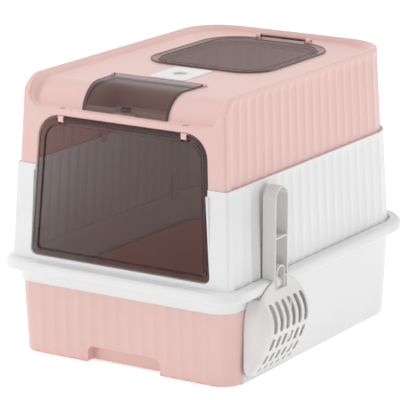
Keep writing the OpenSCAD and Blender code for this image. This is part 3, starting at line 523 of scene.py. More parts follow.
# ---- Materials ----

LOOKS = "looks_"


def plastic(name, colour, roughness=0.36, grain=0.05, tone=0.03):
    """Moulded plastic: faint flow tone, fine grain, and gloss that varies a little."""
    t = empty_tree(bpy.data.materials.new(LOOKS + name))
    broad, fine = t.noise(7.0, 3.0), t.noise(900.0, 2.0, 0.6)
    bump = t.add("ShaderNodeBump", {"Height": fine, "Strength": grain, "Distance": 0.0002})
    shader = t.add("ShaderNodeBsdfPrincipled", {
        "Base Color": t.scaled(tuple(colour), t.spread(broad, 1 - tone, 1 + tone * 0.4)),
        "Roughness": t.spread(fine, roughness - 0.04, roughness + 0.05), "Normal": bump.outputs[0],
        "IOR": 1.46})
    t.add("ShaderNodeOutputMaterial", {0: shader.outputs[0]})


def smoky(name, colour, cover, roughness=0.14, gloss_level=0.25):
    """Tinted see-through plastic: a dark film with gloss, which stops cover of the light."""
    t = empty_tree(bpy.data.materials.new(LOOKS + name))
    broad = t.noise(9.0, 2.0)
    shader = t.add("ShaderNodeBsdfPrincipled", {
        "Base Color": t.scaled(tuple(colour), t.spread(broad, 0.94, 1.05)),
        "Roughness": t.spread(broad, roughness - 0.03, roughness + 0.04), "IOR": 1.5,
        "Specular IOR Level": gloss_level, "Alpha": cover})
    t.add("ShaderNodeOutputMaterial", {0: shader.outputs[0]})


def material(slot):
    """The finished material of a slot; the slot's own name belongs to the frame's plain colour."""
    return bpy.data.materials[LOOKS + slot]


# ---- Settings ----

def metres(label, text, value):
    return bpy.props.FloatProperty(name=label, description=text, default=value, unit="LENGTH")


def colour(label, text, *value):
    return bpy.props.FloatVectorProperty(name=label, description=text, subtype="COLOR", size=3, default=value)


def share(label, text, value):
    return bpy.props.FloatProperty(name=label, description="Share of the light that " + text + " stops",
                                   default=value, subtype="FACTOR")


class LITTERBOX_PG_sizes(bpy.types.PropertyGroup):
    flutes: bpy.props.IntProperty(name="Flutes", default=FLUTES,
                                  description="Flutes round the sides and back")
    flute_width: metres("Flute width", "Width of one flute", 0.020)
    flute_depth: metres("Flute depth", "Depth of one flute", 0.0018)
    door_edge: metres("Doorway edge", "Radius of the doorway's outer edge", 0.002)
    lip_edge: metres("Lip edge", "Radius of the hood lip's outer edge", 0.003)
    lens: bpy.props.FloatProperty(name="Lens", description="Focal length of the camera in millimetres",
                                  default=235.0)


class LITTERBOX_PG_colours(bpy.types.PropertyGroup):
    pink: colour("Pink plastic", "Colour of the hood and drawer", 0.83, 0.565, 0.53)
    white: colour("White plastic", "Colour of the tub and housing", 0.84, 0.84, 0.84)
    grey: colour("Grey plastic", "Colour of the scoop", 0.77, 0.76, 0.75)
    smoke: colour("Smoky plastic", "Colour of the flap, hatch and lid", 0.075, 0.045, 0.042)
    cover: share("Smoke cover", "the lid", 0.36)
    # cover of the darker smoky copy, which paints shade on rims seen edge on
    edge_shade_cover: share("Rim cover", "a thick rim", 0.8)
    door_cover: share("Flap cover", "the flap", 0.15)
    hatch_cover: share("Hatch cover", "the hatch", 0.215)


# ---- Housing ----

def house_y(z):
    """Front face of the housing at height z."""
    return -(HOUSE_D / 2 - (z - HOUSE_FOOT) * SLOPE)


def hood_y(z):
    """Front face of the hood at height z."""
    return -(HOOD_D / 2 - (z - SEAM_Z) * SLOPE)


def house_ring(shares, z, inset, inset_front=None):
    """Ring of the housing's wall at height z, set in by inset, and by inset_front at the front and back;
    and the columns of the wall's outside."""
    lean = (z - HOUSE_FOOT) * SLOPE

    def columns(inset):
        return wall_columns(HOUSE_W - 2 * lean - 2 * inset, HOUSE_D - 2 * lean - 2 * inset,
                            max(FRONT_R - inset, 0.8), REAR_R - inset, shares)

    cols, out = columns(0), columns(inset)
    if inset_front is not None:
        k = cols[:, 2:3] ** 2
        out = out * k + columns(inset_front) * (1 - k)
    return ring_at(2, out[:, :2], z), cols


class LITTERBOX_OT_housing(bpy.types.Operator):
    """Fluted middle wall with its doorway"""
    bl_idname = "litterbox.housing"
    bl_label = "Housing"

    def execute(self, context):
        sizes = context.scene.litterbox_sizes
        foot, top, shares = HOUSE_FOOT, HOUSE_TOP, flute_shares(sizes)
        crest = top - 2
        outer = [(foot, 0.7), (foot + 0.2, 0.2), (foot + 0.7, 0), (150, 0), (180, 0), (210, 0), (230, 0)]
        outer += [(z, 0) for z in np.arange(crest - 10, crest + 1.01, 1.0)]
        outer += [(top - 0.55, 0), (top - 0.15, 0.15), (top, 0.5)]
        # height, inset, inset of the front, and depth of the flutes: over the top, shelf, and down inside
        inner = ((top, 2.5, 1.2, 0), (top - 0.3, 2.8, 1.35, 0), (SEAM_Z - 0.35, 3.0, 1.35, 0),
                 (SEAM_Z - 0.35, 8.6, 8.6, 0), (SEAM_Z - 4, 8.6, 8.6, 0), (SEAM_Z - 4, SHELL, SHELL, 0),
                 (SEAM_Z - 7, SHELL, SHELL, 1), (200, SHELL, SHELL, 1), (134, SHELL, SHELL, 1),
                 (131, SHELL, SHELL, 0), (foot + 0.4, SHELL, SHELL, 0), (foot, 2.2, 2.2, 0))
        outside = [house_ring(shares, *row) for row in outer]
        rings = [ring for ring, _ in outside] + [house_ring(shares, *row[:3])[0] for row in inner]
        obj = fluted_wall("housing_shell", rings, [1] * len(outer) + [row[3] for row in inner],
                          outside[-1][1], crest, sizes, "white_plastic",
                          run_length(HOUSE_W, HOUSE_D) * MID_RUN, closed_up=True)
        cut(obj, door_cutter(house_y, sizes.door_edge / MM, reach=24))
        # flange that stands back from the lower doorway
        flange = stacked("flange", lambda grow, depth: door_ring(grow, lambda z: -HOUSE_D / 2, depth),
                         (2.2, 2), (2.2, 10.4), (1.9, 10.9), (0.6, 11), (0, 10.4), (0, 2), closed_up=True)
        cut(flange, middle_box("above", 200, -300, SEAM_Z - 5, 0, 400))
        finished(joined("housing_shell", [obj, flange]), "upper", "white_plastic", "housing")
        return {"FINISHED"}


# ---- Hood ----

def top_of(y):
    """Height of the hood's top surface over depth y, which turns down over the brow."""
    ahead = np.clip(BROW_Y - np.asarray(y, float), 0, BROW_R)
    return BROW_Z + np.sqrt(BROW_R ** 2 - ahead ** 2)


def hood_body(sizes):
    """Outside of the hood as a solid: fluted walls, soft edge, brow and top."""
    shares, edge_r = flute_shares(sizes), sizes.lip_edge / MM

    def columns(z, inset):
        lean = (z - SEAM_Z) * SLOPE
        return wall_columns(HOOD_W - 2 * lean - 2 * inset, HOOD_D - 2 * lean - 2 * inset,
                            max(FRONT_R - inset, 0.4), REAR_R - min(inset, 40), shares, 8, 8, 40)

    base, rim = columns(SEAM_Z, 0), columns(HOOD_TOP, 0)
    side = 1 - np.clip(-base[:, 3], 0, 1) ** 2
    edge_z = top_of(rim[:, 1]) - edge_r * side
    low, bend = np.full(len(base), SEAM_Z), edge_z - 13
    levels = [low + (bend - low) * k for k in (0, 0.04, 0.2, 0.45, 0.7, 1.0)]
    levels += [bend + (edge_z - bend) * k for k in np.linspace(0, 1, 13)[1:]]
    rings = []
    for z in levels:
        up = (z - SEAM_Z) / (HOOD_TOP - SEAM_Z)
        rings.append(ring_at(2, base[:, :2] + (rim[:, :2] - base[:, :2]) * up[:, None], z))
    for a in list(np.arange(8, 91, 8.2)) + [90]:
        inset = BROW_R * (1 - cos(radians(a)))
        cols = columns(HOOD_TOP, inset)
        drop = edge_r - sqrt(edge_r ** 2 - (edge_r - min(inset, edge_r)) ** 2)
        rings.append(ring_at(2, cols[:, :2], top_of(cols[:, 1]) - drop * side))
    rings[-1][:, 2] = HOOD_TOP
    skin = [1] * len(levels) + [0] * (len(rings) - len(levels))
    return fluted_wall("hood_shell", rings, skin, base, edge_z - 2.2, sizes, "pink_plastic",
                       run_length(HOOD_W, HOOD_D) * MID_RUN)


def roof_line(s):
    """Point of the recessed roof and direction out of it, s up its profile from the ledge over the brow."""
    if s < 0:
        f = np.array([BEND_Y + BEND_R * cos(LEDGE_TURN), LEDGE_Z + s])
        return f, np.array([-1.0, 0.1]) / hypot(1, 0.1)
    if s < BEND_RUN:
        a = LEDGE_TURN - s / BEND_R
        n = np.array([cos(a), sin(a)])
        return np.array([BEND_Y, BEND_Z]) + BEND_R * n, n
    return np.array([BEND_Y + s - BEND_RUN, ROOF_Z]), np.array([0.0, 1.0])


def roof_depth(f, n):
    """Distance from a point of the roof straight out to the hood's outer surface."""
    near, far = 0.0, 40.0
    for _ in range(30):
        d = (near + far) / 2
        y, z = f + n * d
        inside = z < top_of(y) and y > hood_y(z)
        near, far = (d, far) if inside else (near, d)
    return near


def recess_cutter():
    """Space over the recessed roof. Its wall follows a rounded outline on the roof, from the ledge over the
    brow to the back, with a fillet at its foot and a flare that rounds the lip."""
    profile = [(0, -3.2), (0.12, -2.2), (0.5, -1.3), (1.1, -0.6), (2.2, 0.3), (4.4, 2.4)]
    profile += [(5.03 + 2 * sin(a), 7.2 - 2 * cos(a)) for a in np.radians([18, 36, 54, 72, 90])]
    profile += [(8.5, 7.4), (16, 8)]
    length = BEND_RUN + ROOF_REAR_Y - BEND_Y
    front_r, rear_r = 11.0, REAR_R - 9
    lip, upright = 7.0, 0.66  # profile's height at the hood's surface; how much less it flares in front

    def corner(s, r, a0, a1, n):
        return [bent(ROOF_HALF - r, s, r, a) for a in np.radians(np.linspace(a0, a1, n + 1))]

    outline = corner(front_r, front_r, -90, 0, 12)
    outline += [(ROOF_HALF, s, 1.0, 0.0) for s in [
        *np.linspace(front_r, BEND_RUN, 24)[1:], BEND_RUN + 40, BEND_RUN + 120, length - rear_r - 30]]
    outline += corner(length - rear_r, rear_r, 0, 90, 18)
    right = []
    for x, s, nx, ns in outline:
        column = []
        for p, q in profile:
            q *= 1 - upright * ns ** 2
            f, n = roof_line(s + q * ns)
            out = min(p, lip) / lip * roof_depth(f, n) + max(p - lip, 0)
            column.append((x + q * nx, *(f + n * out)))
        right.append(column)
    right = np.array(right)
    grid = np.concatenate([right, right[::-1] * np.array([-1, 1, 1])])
    n, m = grid.shape[:2]
    faces = []
    for i in range(n):
        a, b = i * m, ((i + 1) % n) * m
        faces += [(a + j, b + j, b + j + 1, a + j + 1) for j in range(m - 1)]
    for row in (0, m - 1):
        for i in range(n // 2 - 1):
            faces.append((i * m + row, (i + 1) * m + row, (n - 2 - i) * m + row, (n - 1 - i) * m + row))
    return mesh_piece("recess", grid.reshape(-1, 3), faces)


def hood_room(sizes):
    """Room inside the hood; its walls carry the back of the flutes."""
    rings = []
    levels = ((SEAM_Z - 2, 0), (SEAM_Z + 4, 0), (SEAM_Z + 8, 1), (300, 1), (340, 1), (HOOD_TOP + 4, 0))
    for z, _ in levels:
        lean = (z - SEAM_Z) * SLOPE + SHELL
        cols = wall_columns(HOOD_W - 2 * lean, HOOD_D - 2 * lean, 1.4, REAR_R - SHELL, flute_shares(sizes))
        rings.append(ring_at(2, cols[:, :2], z))
    room = fluted_wall("room", rings, [k for _, k in levels], cols, 500.0, sizes, "pink_plastic",
                       run_length(HOOD_W, HOOD_D))
    profile = [(300, SEAM_Z - 3), (300, CEILING_Z), *arc(BEND_Y, BEND_Z, BEND_R - SHELL, 90, 168, 16),
               (ROOF_FRONT_Y + SHELL, LEDGE_Z - SHELL), (-300, LEDGE_Z - SHELL), (-300, SEAM_Z - 3)]
    return shared(room, prism_x("under_roof", profile, 200))


def hatch_ring(inset, z):
    """The hatch's outline, with larger corners at the rear, set in by inset."""
    x = HATCH_W / 2 - inset
    return ring_at(2, cornered(x, x, HATCH_Y0 + inset, HATCH_REAR - inset, HATCH_R - inset,
                               HATCH_REAR_R - inset, 20, 20), z)


class LITTERBOX_OT_hood(bpy.types.Operator):
    """Fluted hood with its recessed roof, brow, doorway and openings"""
    bl_idname = "litterbox.hood"
    bl_label = "Hood"

    def execute(self, context):
        sizes = context.scene.litterbox_sizes
        obj = cut(hood_body(sizes), recess_cutter(), hood_room(sizes),
                  door_cutter(hood_y, sizes.door_edge / MM, reach=22),
                  lofted("hole", [hatch_ring(HATCH_LAP, z) for z in (340, 370)]),
                  middle_box("well", WELL_X, WELL_Y, 300, WELL_REAR, 380),
                  middle_box("finger_room", CATCH_HALF, CATCH_Y, CATCH_Z, -205, 331),
                  middle_box("track", PLATE_HALF + PLATE_PLAY, PLATE_Y0 - PLATE_PLAY, 353.3,
                             PLATE_Y1 + 5 + PLATE_PLAY, 370),
                  middle_box("stem", STEM_HALF + PLATE_PLAY, STEM_Y - PLATE_PLAY, 340, -52.65, 370))
        for x in (-CLIP_X, CLIP_X):
            cut(obj, box_piece("tongue", x - TONGUE_HALF, -214.2, 318, x + TONGUE_HALF, -210.2, 327))
        finished(obj, "upper", "pink_plastic", "hood")
        self.well()
        return {"FINISHED"}

    def well(self):
        """Walls of the deodoriser well, hanging from the roof."""
        def ring(x, y0, y1, r, z):
            return ring_at(2, cornered(x, x, y0, y1, r, r, 5, 5), z)

        low, high = WELL_FLOOR_T
        rings = [ring(WELL_X - i, WELL_Y + i, WELL_REAR - i, 2.5, z)
                 for i, z in ((-2, low), (-2, 380), (0, 380), (0, high))]
        rings += [ring(*WELL_FLOOR, z) for z in (high, low)]
        under = [(300, 300), (300, ROOF_Z - 0.6), *arc(BEND_Y, BEND_Z, BEND_R - 0.6, 90, 170, 16),
                 (ROOF_FRONT_Y, 300)]
        well = shared(lofted("well_walls", rings, closed_up=True), prism_x("under", under, 200))
        cut(well, middle_box("catch", CATCH_HALF, CATCH_Y, CATCH_Z, -199, 345))
        finished(well, "upper", "pink_plastic")


# ---- Flap door ----

def leaned(points):
    """Points of the flap's own plane, leaned back about its axis."""
    x, y, z = np.asarray(points, float).T
    c, s = cos(DOOR_LEAN), sin(DOOR_LEAN)
    return np.column_stack([x, DOOR_AXIS[0] + y * c + z * s, DOOR_AXIS[1] - y * s + z * c])


def leaf_ring(inset, y):
    """The flap's outline in its own leaning plane, set in by inset at depth y, turned into place."""
    drop = (DOOR_AXIS[1] - SILL_Z) / cos(DOOR_LEAN) - DOOR_GAP
    foot = DOOR_W / 2 - DOOR_GAP - inset
    p = cornered(foot, foot - DOOR_TAPER, -drop + inset, 0.6 - inset,
                 max(DOOR_FOOT_R + 1 - DOOR_GAP - inset * 0.4, 2), DOOR_TOP_R - inset, 8, 18)
    return leaned(ring_at(1, p, y))


class LITTERBOX_OT_door(bpy.types.Operator):
    """Smoky flap with its raised border, barrel and pins"""
    bl_idname = "litterbox.door"
    bl_label = "Flap door"

    def execute(self, context):
        def leaned_box(name, *box):
            return lofted(name, [leaned(ring) for ring in box_rings(*box)])

        obj = stacked(
            "flap", leaf_ring, (9.6, 2.8), (8.9, 2.75), (8.4, 2.5), (8.1, 2.0), (8.0, 1.4), (8.0, -0.2),
            (7.7, -0.9), (7.0, -1.2), (1.6, -1.2), (0.8, -1.05), (0.2, -0.6), (0, 0.1), (0, 0.9), (0.3, 1.2),
            (5.0, 1.2), (5.5, 1.5), (5.6, 2.0), (5.6, 4.6), (5.8, 5.1), (6.3, 5.2))
        reach, half = CLIP_X - CLIP_W / 2 - 0.35, CLIP_W / 2 + 0.7
        for x in (-CLIP_X, CLIP_X):
            cut(obj, leaned_box("notch", x - half, -12, -6.5, x + half, 12, 30))
        cut(obj, leaned_box("above", -CLIP_X, -12, 0, CLIP_X, 12, 30))
        weld(obj, tube_x("barrel", *DOOR_AXIS, 3.4, reach), tube_x("pins", *DOOR_AXIS, 2.0, reach + CLIP_W))
        finished(obj, "door", "smoky_plastic", "front_door")
        facing = Vector((0, cos(DOOR_LEAN), -sin(DOOR_LEAN)))
        # Side faces of the steps, and the top strip with the barrel, get the darker smoky copy: painted shade
        # where the plastic is seen edge on.
        edge_shaded(obj, "smoky_door", lambda c, n: abs(n.dot(facing)) < 0.8
              or c.z > DOOR_AXIS[1] - 3 and abs(c.x) < CLIP_X + 8)
        return {"FINISHED"}


# ---- Roof hatch, latch and lid ----

class LITTERBOX_OT_hatch(bpy.types.Operator):
    """Smoky roof hatch with its lapping border, skirt and hinge barrel, and the slide latch"""
    bl_idname = "litterbox.hatch"
    bl_label = "Roof hatch"

    def execute(self, context):
        z = HATCH_Z
        obj = stacked(
            "hatch", lambda i, h: hatch_ring(i, z + h), (16.0, 1.6), (14.6, 1.5), (13.8, 1.1), (13.0, 1.1),
            (12.5, 1.6), (12.1, 2.3), (11.4, 2.6), (1.4, 2.6), (0.6, 2.4), (0.15, 1.9), (0, 1.2), (0, 0.3),
            (0.3, 0), (10.2, 0), (10.2, -8.6), (10.6, -9.0), (12.0, -9.0), (12.4, -8.6), (12.4, -0.6))
        weld(obj, middle_box("tab", HATCH_BARREL, HATCH_REAR - 4, z, HATCH_AXIS[0], z + 2.6),
             tube_x("barrel", *HATCH_AXIS, 3.4, HATCH_BARREL))
        cut(obj, tube_x("bore", *HATCH_AXIS, 1.55, 60, edge=0),
            middle_box("bolt_slot", 9.5, HATCH_Y0, 347.75, -26.6, 353.35))
        finished(obj, "hatch", "smoky_plastic", "roof_hatch")
        # Upright faces above the roof, but for the barrel's middle, get the darker smoky copy: painted shade
        # on the border seen edge on.
        edge_shaded(obj, "smoky_hatch", lambda c, n: abs(n.z) < 0.8 and c.z > z
              and (c.y < HATCH_REAR or abs(c.x) > HATCH_BARREL + 1))
        self.latch()
        return {"FINISHED"}

    def latch(self):
        def ring(i, z):
            half, r = PLATE_HALF - i, 4 - i * 0.8
            return ring_at(2, cornered(half, half, PLATE_Y0 + i, PLATE_Y1 - i, r, r, 10, 10), z)

        plate = stacked("slide_plate", ring, (0.3, 353.4), (0, 353.7), (0, 355.1), (0.12, 355.38),
                        (0.4, 355.56), (0.8, 355.6))
        cut(plate, stacked("thumb", lambda r, z: ring_at(2, arc(0, THUMB_Y, r, 0, 360, 64)[:-1], z),
                           (9.75, 350), (9.75, 355.0), (9.85, 355.3), (10.15, 355.55), (10.5, 355.6),
                           (11.4, 355.65), (12, 358)))
        stem = middle_box("stem", STEM_HALF, STEM_Y, BOLT_Z, STEM_Y + 8, 353.6)
        weld(plate, weld(stem, middle_box("bolt", BOLT_HALF, STEM_Y, BOLT_Z, -31.5, BOLT_Z + BOLT_T)))
        finished(plate, "latch", "white_plastic", "hatch_latch")


class LITTERBOX_OT_lid(bpy.types.Operator):
    """Smoky lid over the deodoriser well, bent over the brow"""
    bl_idname = "litterbox.lid"
    bl_label = "Deodoriser lid"

    def execute(self, context):
        def half_at(y):
            return LID_HALF + LID_FLARE * (y - LID_FOOT_Y) / (LID_AXIS[0] + 10 - LID_FOOT_Y)

        # stations down the roof's profile, and the section's strips: past the edge, and above the roof
        sweep = degrees(acos((LID_FRONT_Z - BEND_Z) / (BEND_R + LID_GAP)))
        stations = [(y, ROOF_Z, 0.0, 1.0) for y in (LID_AXIS[0], -140.0, -155.0, -168.0)]
        stations += [bent(BEND_Y, BEND_Z, BEND_R, a) for a in np.radians(np.linspace(90, 90 + sweep, 30))]
        section = [(-2.4, 2.9), (-0.7, 2.9), (-0.25, 2.75), (0, 2.3), (0, 0.8), (-0.3, 0.5)]
        rings = []
        for y, z, ny, nz in stations:
            right = [(half_at(y) + q, h) for q, h in section]
            points = right + [(-x, h) for x, h in reversed(right)]
            rings.append(np.array([(x, y + ny * h, z + nz * h) for x, h in points]))
        # finger notch in the front edge
        radius = (NOTCH_W ** 2 / 4 + NOTCH_H ** 2) / (2 * NOTCH_H)
        notch = [*arc(0, LID_FRONT_Z + NOTCH_H - radius, radius, 60, 120, 40), (-80.0, 300.0), (80.0, 300.0)]
        obj = cut(lofted("lid", rings), lofted("notch", [ring_at(1, notch, y) for y in (-230, -207.8)]))
        catch = [*arc(BEND_Y, BEND_Z, BEND_R + 3.3, 164.5, 156.5, 6), (-203.54, 335), (-203.54, 329)]
        weld(obj, tube_x("barrel", *LID_AXIS, 1.7, 66, edge=0.3),
             tube_x("pins", *LID_AXIS, 0.9, 69.6, edge=0.2), prism_x("catch", catch, 6.0))
        finished(obj, "lid", "smoky_plastic", "deodoriser_lid")
        # The lid's sides and edge strips, its down-facing front faces and the catch get the darker smoky
        # copy: painted shade for the dark gap under the notch, for the catch as a dark lump, and for rims
        # seen edge on.
        edge_shaded(obj, "smoky_lid",
              lambda c, n: abs(n.x) > 0.5 or abs(c.x) > half_at(c.y) - 2.2 or n.z < -0.8 and c.z < 327
              or abs(c.x) < 6.2 and 327 < c.z < 336
              and not BEND_R + 0.3 < hypot(c.y - BEND_Y, c.z - BEND_Z) < BEND_R + 3.05)
        return {"FINISHED"}


# ---- Drawer ----

class LITTERBOX_OT_drawer(bpy.types.Operator):
    """Pink drawer: fluted front with its hand recess, and the pan"""
    bl_idname = "litterbox.drawer"
    bl_label = "Drawer"

    def outline(self, z, inset, back=DRAWER_BACK, n_front=DRAWER_FLUTES * FLUTE_STEPS):
        grow = (z - DRAWER_FOOT) * TUB_SLOPE - inset
        w, d, r = DRAWER_W / 2 + grow, DRAWER_D / 2 + grow, DRAWER_R - inset
        x = np.linspace(-(DRAWER_W / 2 - DRAWER_R), DRAWER_W / 2 - DRAWER_R, n_front + 1)[1:-1]
        return ring_at(2, np.concatenate([
            [[w, back], [-w, back]], [[-w, y] for y in np.linspace(back, -d + r, 5)[1:-1]],
            arc(-w + r, -d + r, r, 180, 270, 30), np.column_stack([x, np.full(len(x), -d)]),
            arc(w - r, -d + r, r, 270, 360, 30), [[w, y] for y in np.linspace(-d + r, back, 5)[1:-1]]]), z)

    def execute(self, context):
        foot, top, front = DRAWER_FOOT, DRAWER_TOP, -DRAWER_D / 2
        run = DRAWER_W - 2 * DRAWER_R + 2 * FLUTE_START
        levels = [(foot, 0.8, 0), (foot + 0.25, 0.25, 0), (foot + 0.8, 0, 1), (30, 0, 1), (60, 0, 1),
                  (top - 3.4, 0, 1), (top - 2.9, 0, 0.8), (top - 2.5, 0, 0.3), (top - 2.1, 0, 0),
                  (top - 0.9, 0, 0), (top - 0.25, 0.25, 0), (top, 0.9, 0)]
        rings = [self.outline(z, i) for z, i, _ in levels]
        verts, faces = loft(rings)
        on_front = (np.abs(verts[:, 0]) < run / 2) & (verts[:, 1] < front + 3)
        obj = mesh_piece("drawer_front", verts, faces, {
            "run": np.clip(verts[:, 0] / run + 0.5, 0, 1), "crest": np.full(len(verts), 0.5),
            "skin": np.repeat([k for _, _, k in levels], len(rings[0])) * on_front,
            "facing": np.tile([0.0, -1.0, 0.0], (len(verts), 1))})
        fluted(obj, context.scene.litterbox_sizes, "pink_plastic", run, DRAWER_FLUTES)
        for ends in ((-5, WEB_Z), (WEB_Z + 2, 120)):
            cut(obj, lofted("hollow", [self.outline(z, DRAWER_WALL, -150, 12) for z in ends]))
        # ribs beside the hand recess, the recess's pocket, the pan, and the recess
        for x in (-GRIP_HALF - 9, GRIP_HALF + 9):
            weld(obj, box_piece("rib", x - 1, front + 3, WEB_Z + 1, x + 1, PAN_FRONT + 3, PAN_TOP - 3))
        weld(obj, middle_box("pocket", GRIP_HALF + 2.2, front + 3, foot + 0.4, front + 16, GRIP_TOP + 2.2),
             self.pan())

        def grip(i, y):
            half, r = GRIP_HALF - i, GRIP_R - i
            return ring_at(1, cornered(half, half, -20 + i, GRIP_TOP - 1.2 - i, r, r, 8, 8), y)

        cut(obj, stacked("grip", grip, (-3, -240), (-0.9, front - 0.6), (-0.4, front + 0.1),
                         (0, front + 0.9), (0, front + 14)))
        finished(obj, "drawer_body", "pink_plastic", "drawer")
        return {"FINISHED"}

    def pan(self):
        def ring(i, z):
            p = plan_ring(PAN_W - 2 * i, PAN_REAR - PAN_FRONT - 2 * i, 14 - i, 56 - i, z, 10, 22)
            return p + [0, (PAN_REAR + PAN_FRONT) / 2, 0]

        return stacked(
            "pan", ring, (4.5, 4.2), (3.0, 4.6), (2.0, 6.0), (0.1, 81.6), (-1.5, 81.9), (-2.0, 82.4),
            (-1.9, 83.4), (-1.3, 84.0), (1.4, 84.0), (2.1, 83.7), (2.4, 83.0), (4.4, 9.0), (5.4, 7.2),
            (7.4, 6.6))


# ---- Scoop ----

def bowl_half(z):
    """Half the bowl's width at height z."""
    if z > BOWL_MID:
        up = (z - BOWL_MID) / (BOWL_TOP - BOWL_MID)
        return BOWL_HALF * max(0.0, 1 - up ** BOWL_POWER) ** (1 / BOWL_POWER)
    r = BOWL_FOOT_R
    if z < BOWL_FOOT + r:
        return BOWL_HALF - r + sqrt(max(0, r ** 2 - (BOWL_FOOT + r - z) ** 2))
    return BOWL_HALF


class LITTERBOX_OT_scoop(bpy.types.Operator):
    """Grey scoop: slotted bowl and hollow handle, hung on the rim"""
    bl_idname = "litterbox.scoop"
    bl_label = "Scoop"

    def level(self, z, inset, mouth):
        half, out = bowl_half(z) - inset, float(np.interp(z, BULGE_Z, BULGE_X)) - inset
        r = min(max(out - mouth - 1, 0.5), float(np.interp(z, [88, 108], [20, 6])), half - 0.5)
        return ring_at(2, np.concatenate([
            [[mouth, SCOOP_Y - half]], arc(out - r, SCOOP_Y - half + r, r, 270, 360, 14),
            arc(out - r, SCOOP_Y + half - r, r, 0, 90, 14), [[mouth, SCOOP_Y + half]]]), z)

    def bowl(self, inset, mouth):
        r, rise = BOWL_FOOT_R, BOWL_TOP - BOWL_MID - 0.4
        heights = [BOWL_FOOT + inset]
        heights += [BOWL_FOOT + r - r * cos(a) for a in np.radians([30, 45, 60, 75, 90])]
        heights += [33, 40, 47, 54, 60, 65, BOWL_MID]
        heights += [BOWL_MID + (rise - inset) * sin(a) for a in np.radians(range(8, 91, 5))]
        heights.append(BOWL_MID + rise - inset)
        return lofted("bowl", [self.level(z, inset, mouth) for z in heights])

    def bar(self, w, z0, z1, *steps):
        """Upright bar with a round top, through steps of x and inset."""
        rings = []
        for x, i in steps:
            r = w / 2 - i
            rings.append(ring_at(0, [*arc(SCOOP_Y, z1 - w / 2, r, 0, 180, 24), (SCOOP_Y - r, z0 + i),
                                     (SCOOP_Y + r, z0 + i)], x))
        return lofted("bar", rings)

    def slots(self):
        group, cutters = row_group(), []
        for high, low, r in SLOT_ROWS:
            z0, z1 = BOWL_FOOT + low * SLOT_REACH, BOWL_FOOT + high * SLOT_REACH
            p = [*arc(SCOOP_Y, z1 - r, r, 0, 180, 12), *arc(SCOOP_Y, z0 + r, r, 180, 360, 12)]
            slot = lofted("slot", [ring_at(0, p, x) for x in (MOUTH_X + 1.5, 200)])
            cutters.append(use_group(slot, group, {"Count": SLOTS, "Pitch": SLOT_PITCH * MM,
                                                   "Material": material("grey_plastic")}))
        return joined("slots", cutters)

    def execute(self, context):
        x0, x1, wall, foot, y, half = SCOOP_X, SCOOP_OUT, SCOOP_WALL, BAR_FOOT, SCOOP_Y, 14.75
        bowl = cut(self.bowl(0, MOUTH_X), self.bowl(wall, MOUTH_X - 1), self.slots())
        handle = self.bar(BAR_W, foot, SCOOP_TOP, (x0, 1.0), (x0 + 0.3, 0.3), (x0 + 1, 0), (x1 - 0.6, 0),
                          (x1 - 0.15, 0.2), (x1, 0.6), (x1, 1.4))
        for piece in (bowl, handle):
            cut(piece, self.bar(BAR_ROOM_W, foot + 3, SCOOP_TOP - wall, (x0 + wall, 0.8),
                                (x0 + wall + 0.8, 0), (x1 + 1, 0)))
        # rib across the hollow, arch at its foot, and a tie on each side of the arch
        weld(handle, box_piece("rib", x0 + 1, y - half, RIB_Z, x1 - 0.4, y + half, RIB_Z + 1.8))
        arch = self.bar(ARCH_W, foot + 1, ARCH_TOP, (x0 + 1, 0), (x1 - 0.8, 0), (x1 - 0.4, 0.4))
        cut(arch, self.bar(ARCH_W - 2 * wall, foot - 4, ARCH_TOP - wall, (x0 - 2, 0), (x1 + 2, 0)))
        weld(handle, arch)
        for y0, y1 in ((y - half, y - ARCH_W / 2 + 1), (y + ARCH_W / 2 - 1, y + half)):
            weld(handle, box_piece("tie", x1 - 5, y0, TIE_Z, x1 - 0.6, y1, TIE_Z + 1.4))
        weld(bowl, handle)
        cut(bowl, box_piece("rim_room", 0, -300, RIM_Z - 4, BRIDGE_X, 300, RIM_TOP + 0.35))
        bowl.name = "scoop_shell"
        finished(bowl, "scoop_body", "grey_plastic", "scoop", angle=40)
        return {"FINISHED"}


# ---- Tub ----

